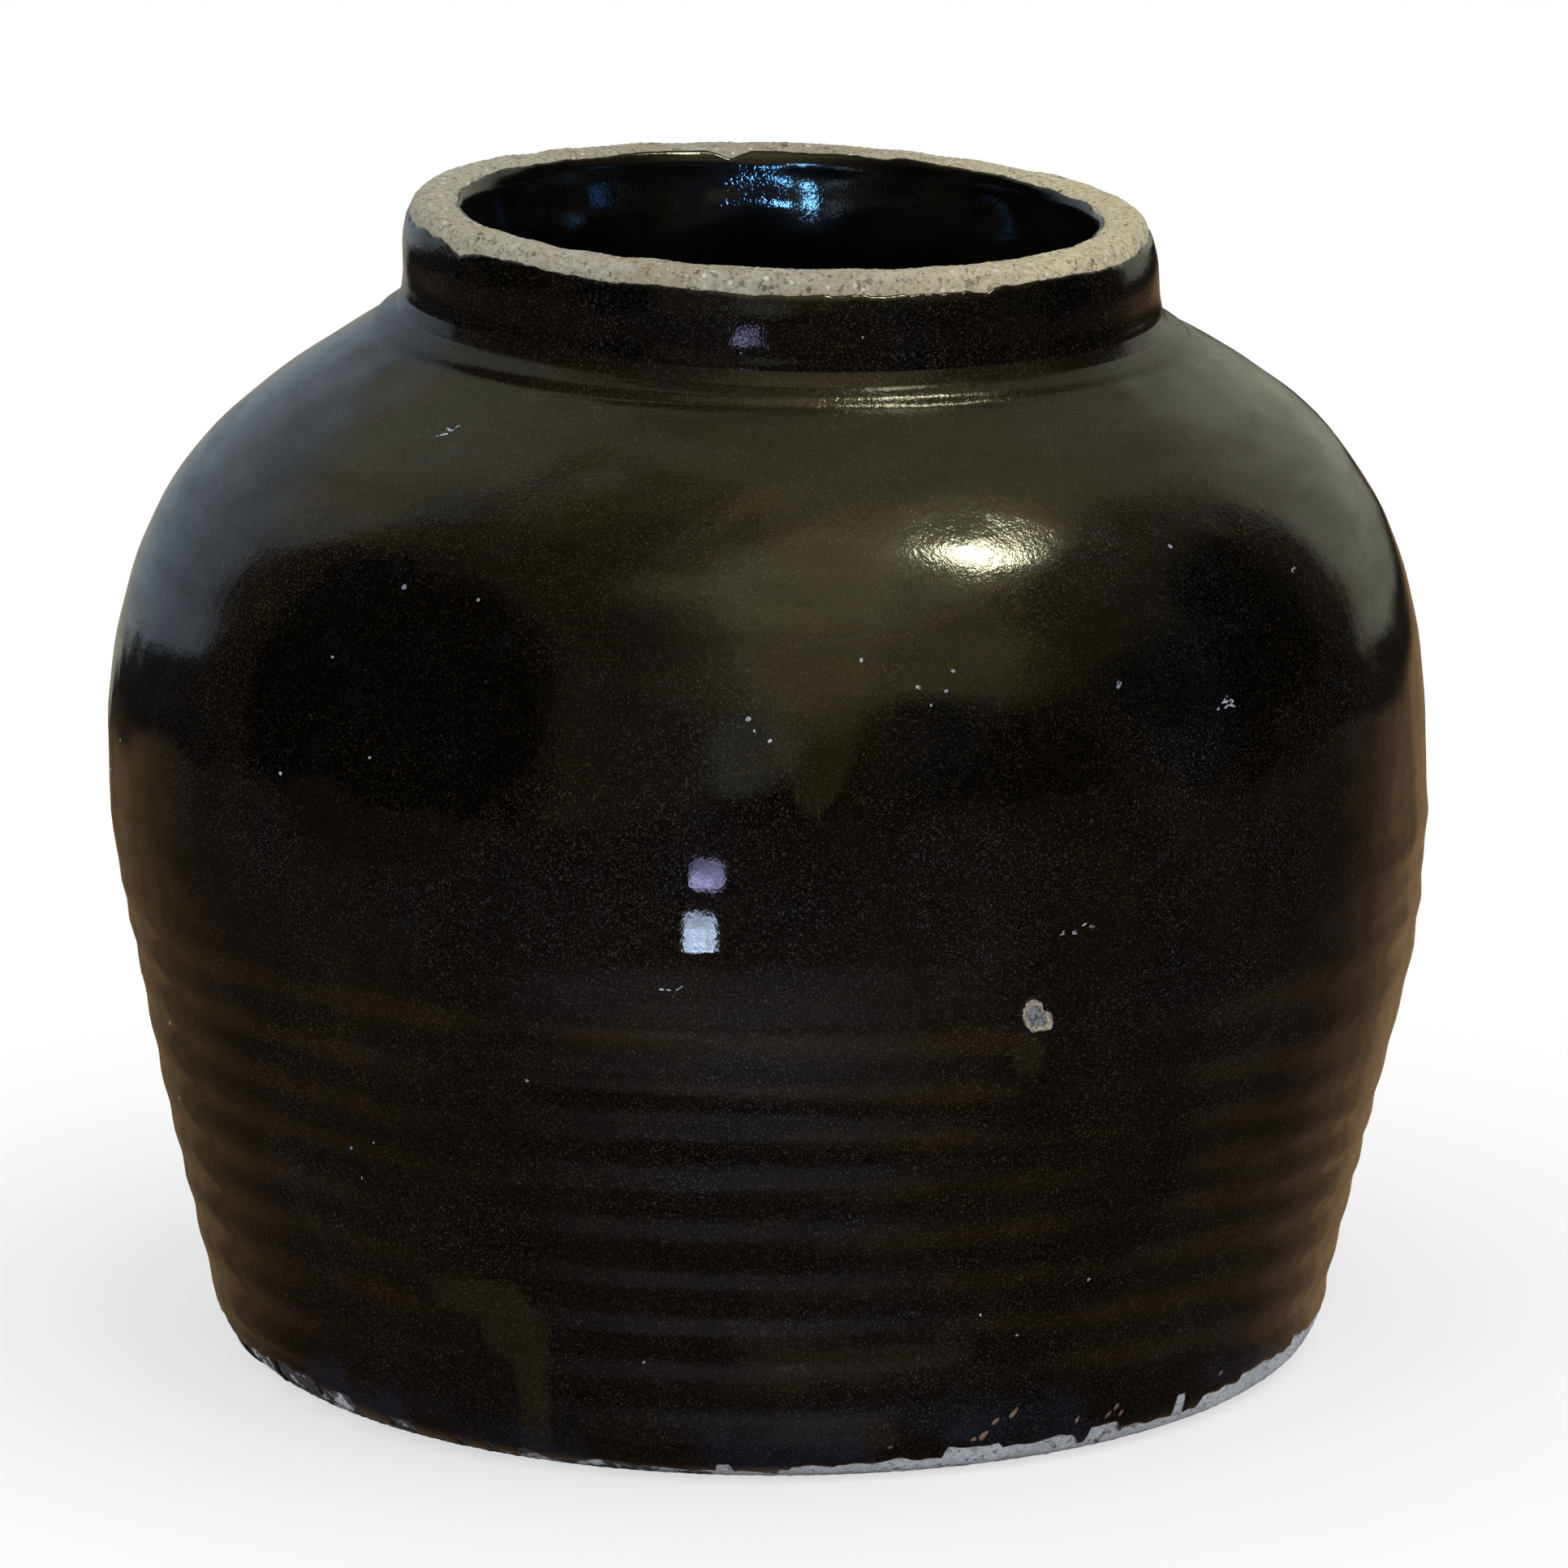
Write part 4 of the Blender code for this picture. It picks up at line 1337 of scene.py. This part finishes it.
def make_floor(room):
    """A plain pale floor with a faint contact shadow; the glaze sees the room's floor in its place."""
    corners = [(x * FLOOR_HALF, y * FLOOR_HALF, 0) for x, y in ((-1, -1), (1, -1), (1, 1), (-1, 1))]
    mesh = new_mesh("floor", corners, [(0, 1, 2, 3)])
    floor = add_object("floor", mesh)
    made = bpy.data.materials.new("pale_floor")
    made.use_nodes = True
    made.cycles.emission_sampling = "NONE"
    tree = made.node_tree
    tree.nodes.clear()
    graph = Graph(tree)
    place = graph.node("ShaderNodeTexCoord").outputs["Object"]
    paper = graph.mix(graph.noise(30, 4, place), (0.91, 0.91, 0.91), (0.94, 0.94, 0.94))
    diffuse = graph.node("ShaderNodeBsdfDiffuse", Color=paper)
    white = graph.node("ShaderNodeEmission", Color=WHITE, Strength=1.0)
    far = graph.node("ShaderNodeVectorMath", {"operation": "LENGTH"}, i0=place).outputs["Value"]
    lit = graph.node("ShaderNodeMixShader", Fac=graph.ramp(far, 0.12, 0.34, 0.62, 1.0), i1=diffuse, i2=white)
    incoming = graph.node("ShaderNodeNewGeometry").outputs["Incoming"]
    outgoing = graph.node("ShaderNodeVectorMath", {"operation": "SCALE"}, i0=incoming, Scale=-1.0)
    seen = graph.node("ShaderNodeEmission", Color=add_group(graph, room, outgoing.outputs[0]), Strength=1.0)
    paths = graph.node("ShaderNodeLightPath").outputs
    shown = graph.node("ShaderNodeMixShader", Fac=paths["Is Camera Ray"], i1=diffuse, i2=lit)
    blend = graph.node("ShaderNodeMixShader", Fac=paths["Is Glossy Ray"], i1=shown, i2=seen)
    graph.node("ShaderNodeOutputMaterial", Surface=blend)
    mesh.materials.append(made)


BODY_MIDDLE = (0, 0, 0.15)


def area_light(name, azimuth, elevation, distance, size, power, colour, target=BODY_MIDDLE, glossy=True):
    """A rectangular lamp that the camera does not see, turned to its target."""
    data = bpy.data.lights.new(name, "AREA")
    data.shape = "RECTANGLE"
    data.size, data.size_y = size
    data.energy = power
    data.color = colour
    light = add_object(name, data)
    out = Vector(towards(azimuth, elevation))
    light.location = Vector(target) + out * distance
    light.rotation_mode = "QUATERNION"
    light.rotation_quaternion = out.to_track_quat("Z", "Y")
    light.visible_camera = False
    light.visible_glossy = glossy
    return light


def only_on(light, piece):
    """Limits a light to one piece."""
    chosen = bpy.data.collections.new(light.name + "_receivers")
    chosen.objects.link(piece)
    light.light_linking.receiver_collection = chosen


# Small lamps over the mouth that only the inner coat mirrors: azimuth, elevation, size, power, colour.
MOUTH_MIDDLE = (0, 0.072, 0.246)
MOUTH_LAMPS = (
    ("mouth_pane_left", 6.4, 10, (0.018, 0.045), 0.36, (0.16, 0.46, 1.0)),
    ("mouth_pane_right", -7.0, 12, (0.045, 0.060), 0.50, (0.20, 0.56, 1.0)),
    ("mouth_pane_far", -22, 8, (0.07, 0.06), 0.03, (0.32, 0.46, 0.6)),
    ("mouth_side", 66, 12, (0.04, 0.04), 0.012, (0.10, 0.35, 1.0)),
)


def make_lights(inner):
    area_light("soft_overhead", 45, 66, 1.8, (1.4, 1.4), 13, (1.0, 0.98, 0.92), glossy=False)
    area_light("soft_front_left", -40, 35, 2.4, (1.4, 1.4), 9, (0.92, 0.96, 1.0), glossy=False)
    for name, azimuth, elevation, size, power, colour in MOUTH_LAMPS:
        only_on(area_light(name, azimuth, elevation, 0.5, size, power, colour, MOUTH_MIDDLE), inner)


CAMERA_TARGET = (0, 0, 0.130)
CAMERA_ELEVATION = 13.63
CAMERA_DISTANCE = 2.256
CAMERA_LENS = 227.8
CAMERA_SHIFT = (0.0054, -0.0087)


def make_camera():
    """The photograph's viewing angle."""
    data = bpy.data.cameras.new("camera")
    data.sensor_width = 36.0
    data.lens = CAMERA_LENS
    data.shift_x, data.shift_y = CAMERA_SHIFT
    camera = add_object("camera", data)
    back = Vector(towards(0, CAMERA_ELEVATION))
    camera.location = Vector(CAMERA_TARGET) + back * CAMERA_DISTANCE
    camera.rotation_mode = "QUATERNION"
    camera.rotation_quaternion = (-back).to_track_quat("-Z", "Y")
    bpy.context.scene.camera = camera
    bpy.context.scene.view_settings.view_transform = "Standard"


outer_coat()
inner = inner_coat()
wall_ring("lower_wall", 6 * MM, 8 * MM)
wall_ring("upper_wall", 5 * MM, 6 * MM)
for joint in ("base_slip_joint", "belly_slip_joint", "collar_slip_joint"):
    slip_ring(joint)
neck_collar()
base_disc()
kiln_grit()
rust_chips()
blister_scar()
room_in_the_glaze = make_room()
make_floor(room_in_the_glaze)
make_world(room_in_the_glaze)
make_lights(inner)
make_camera()
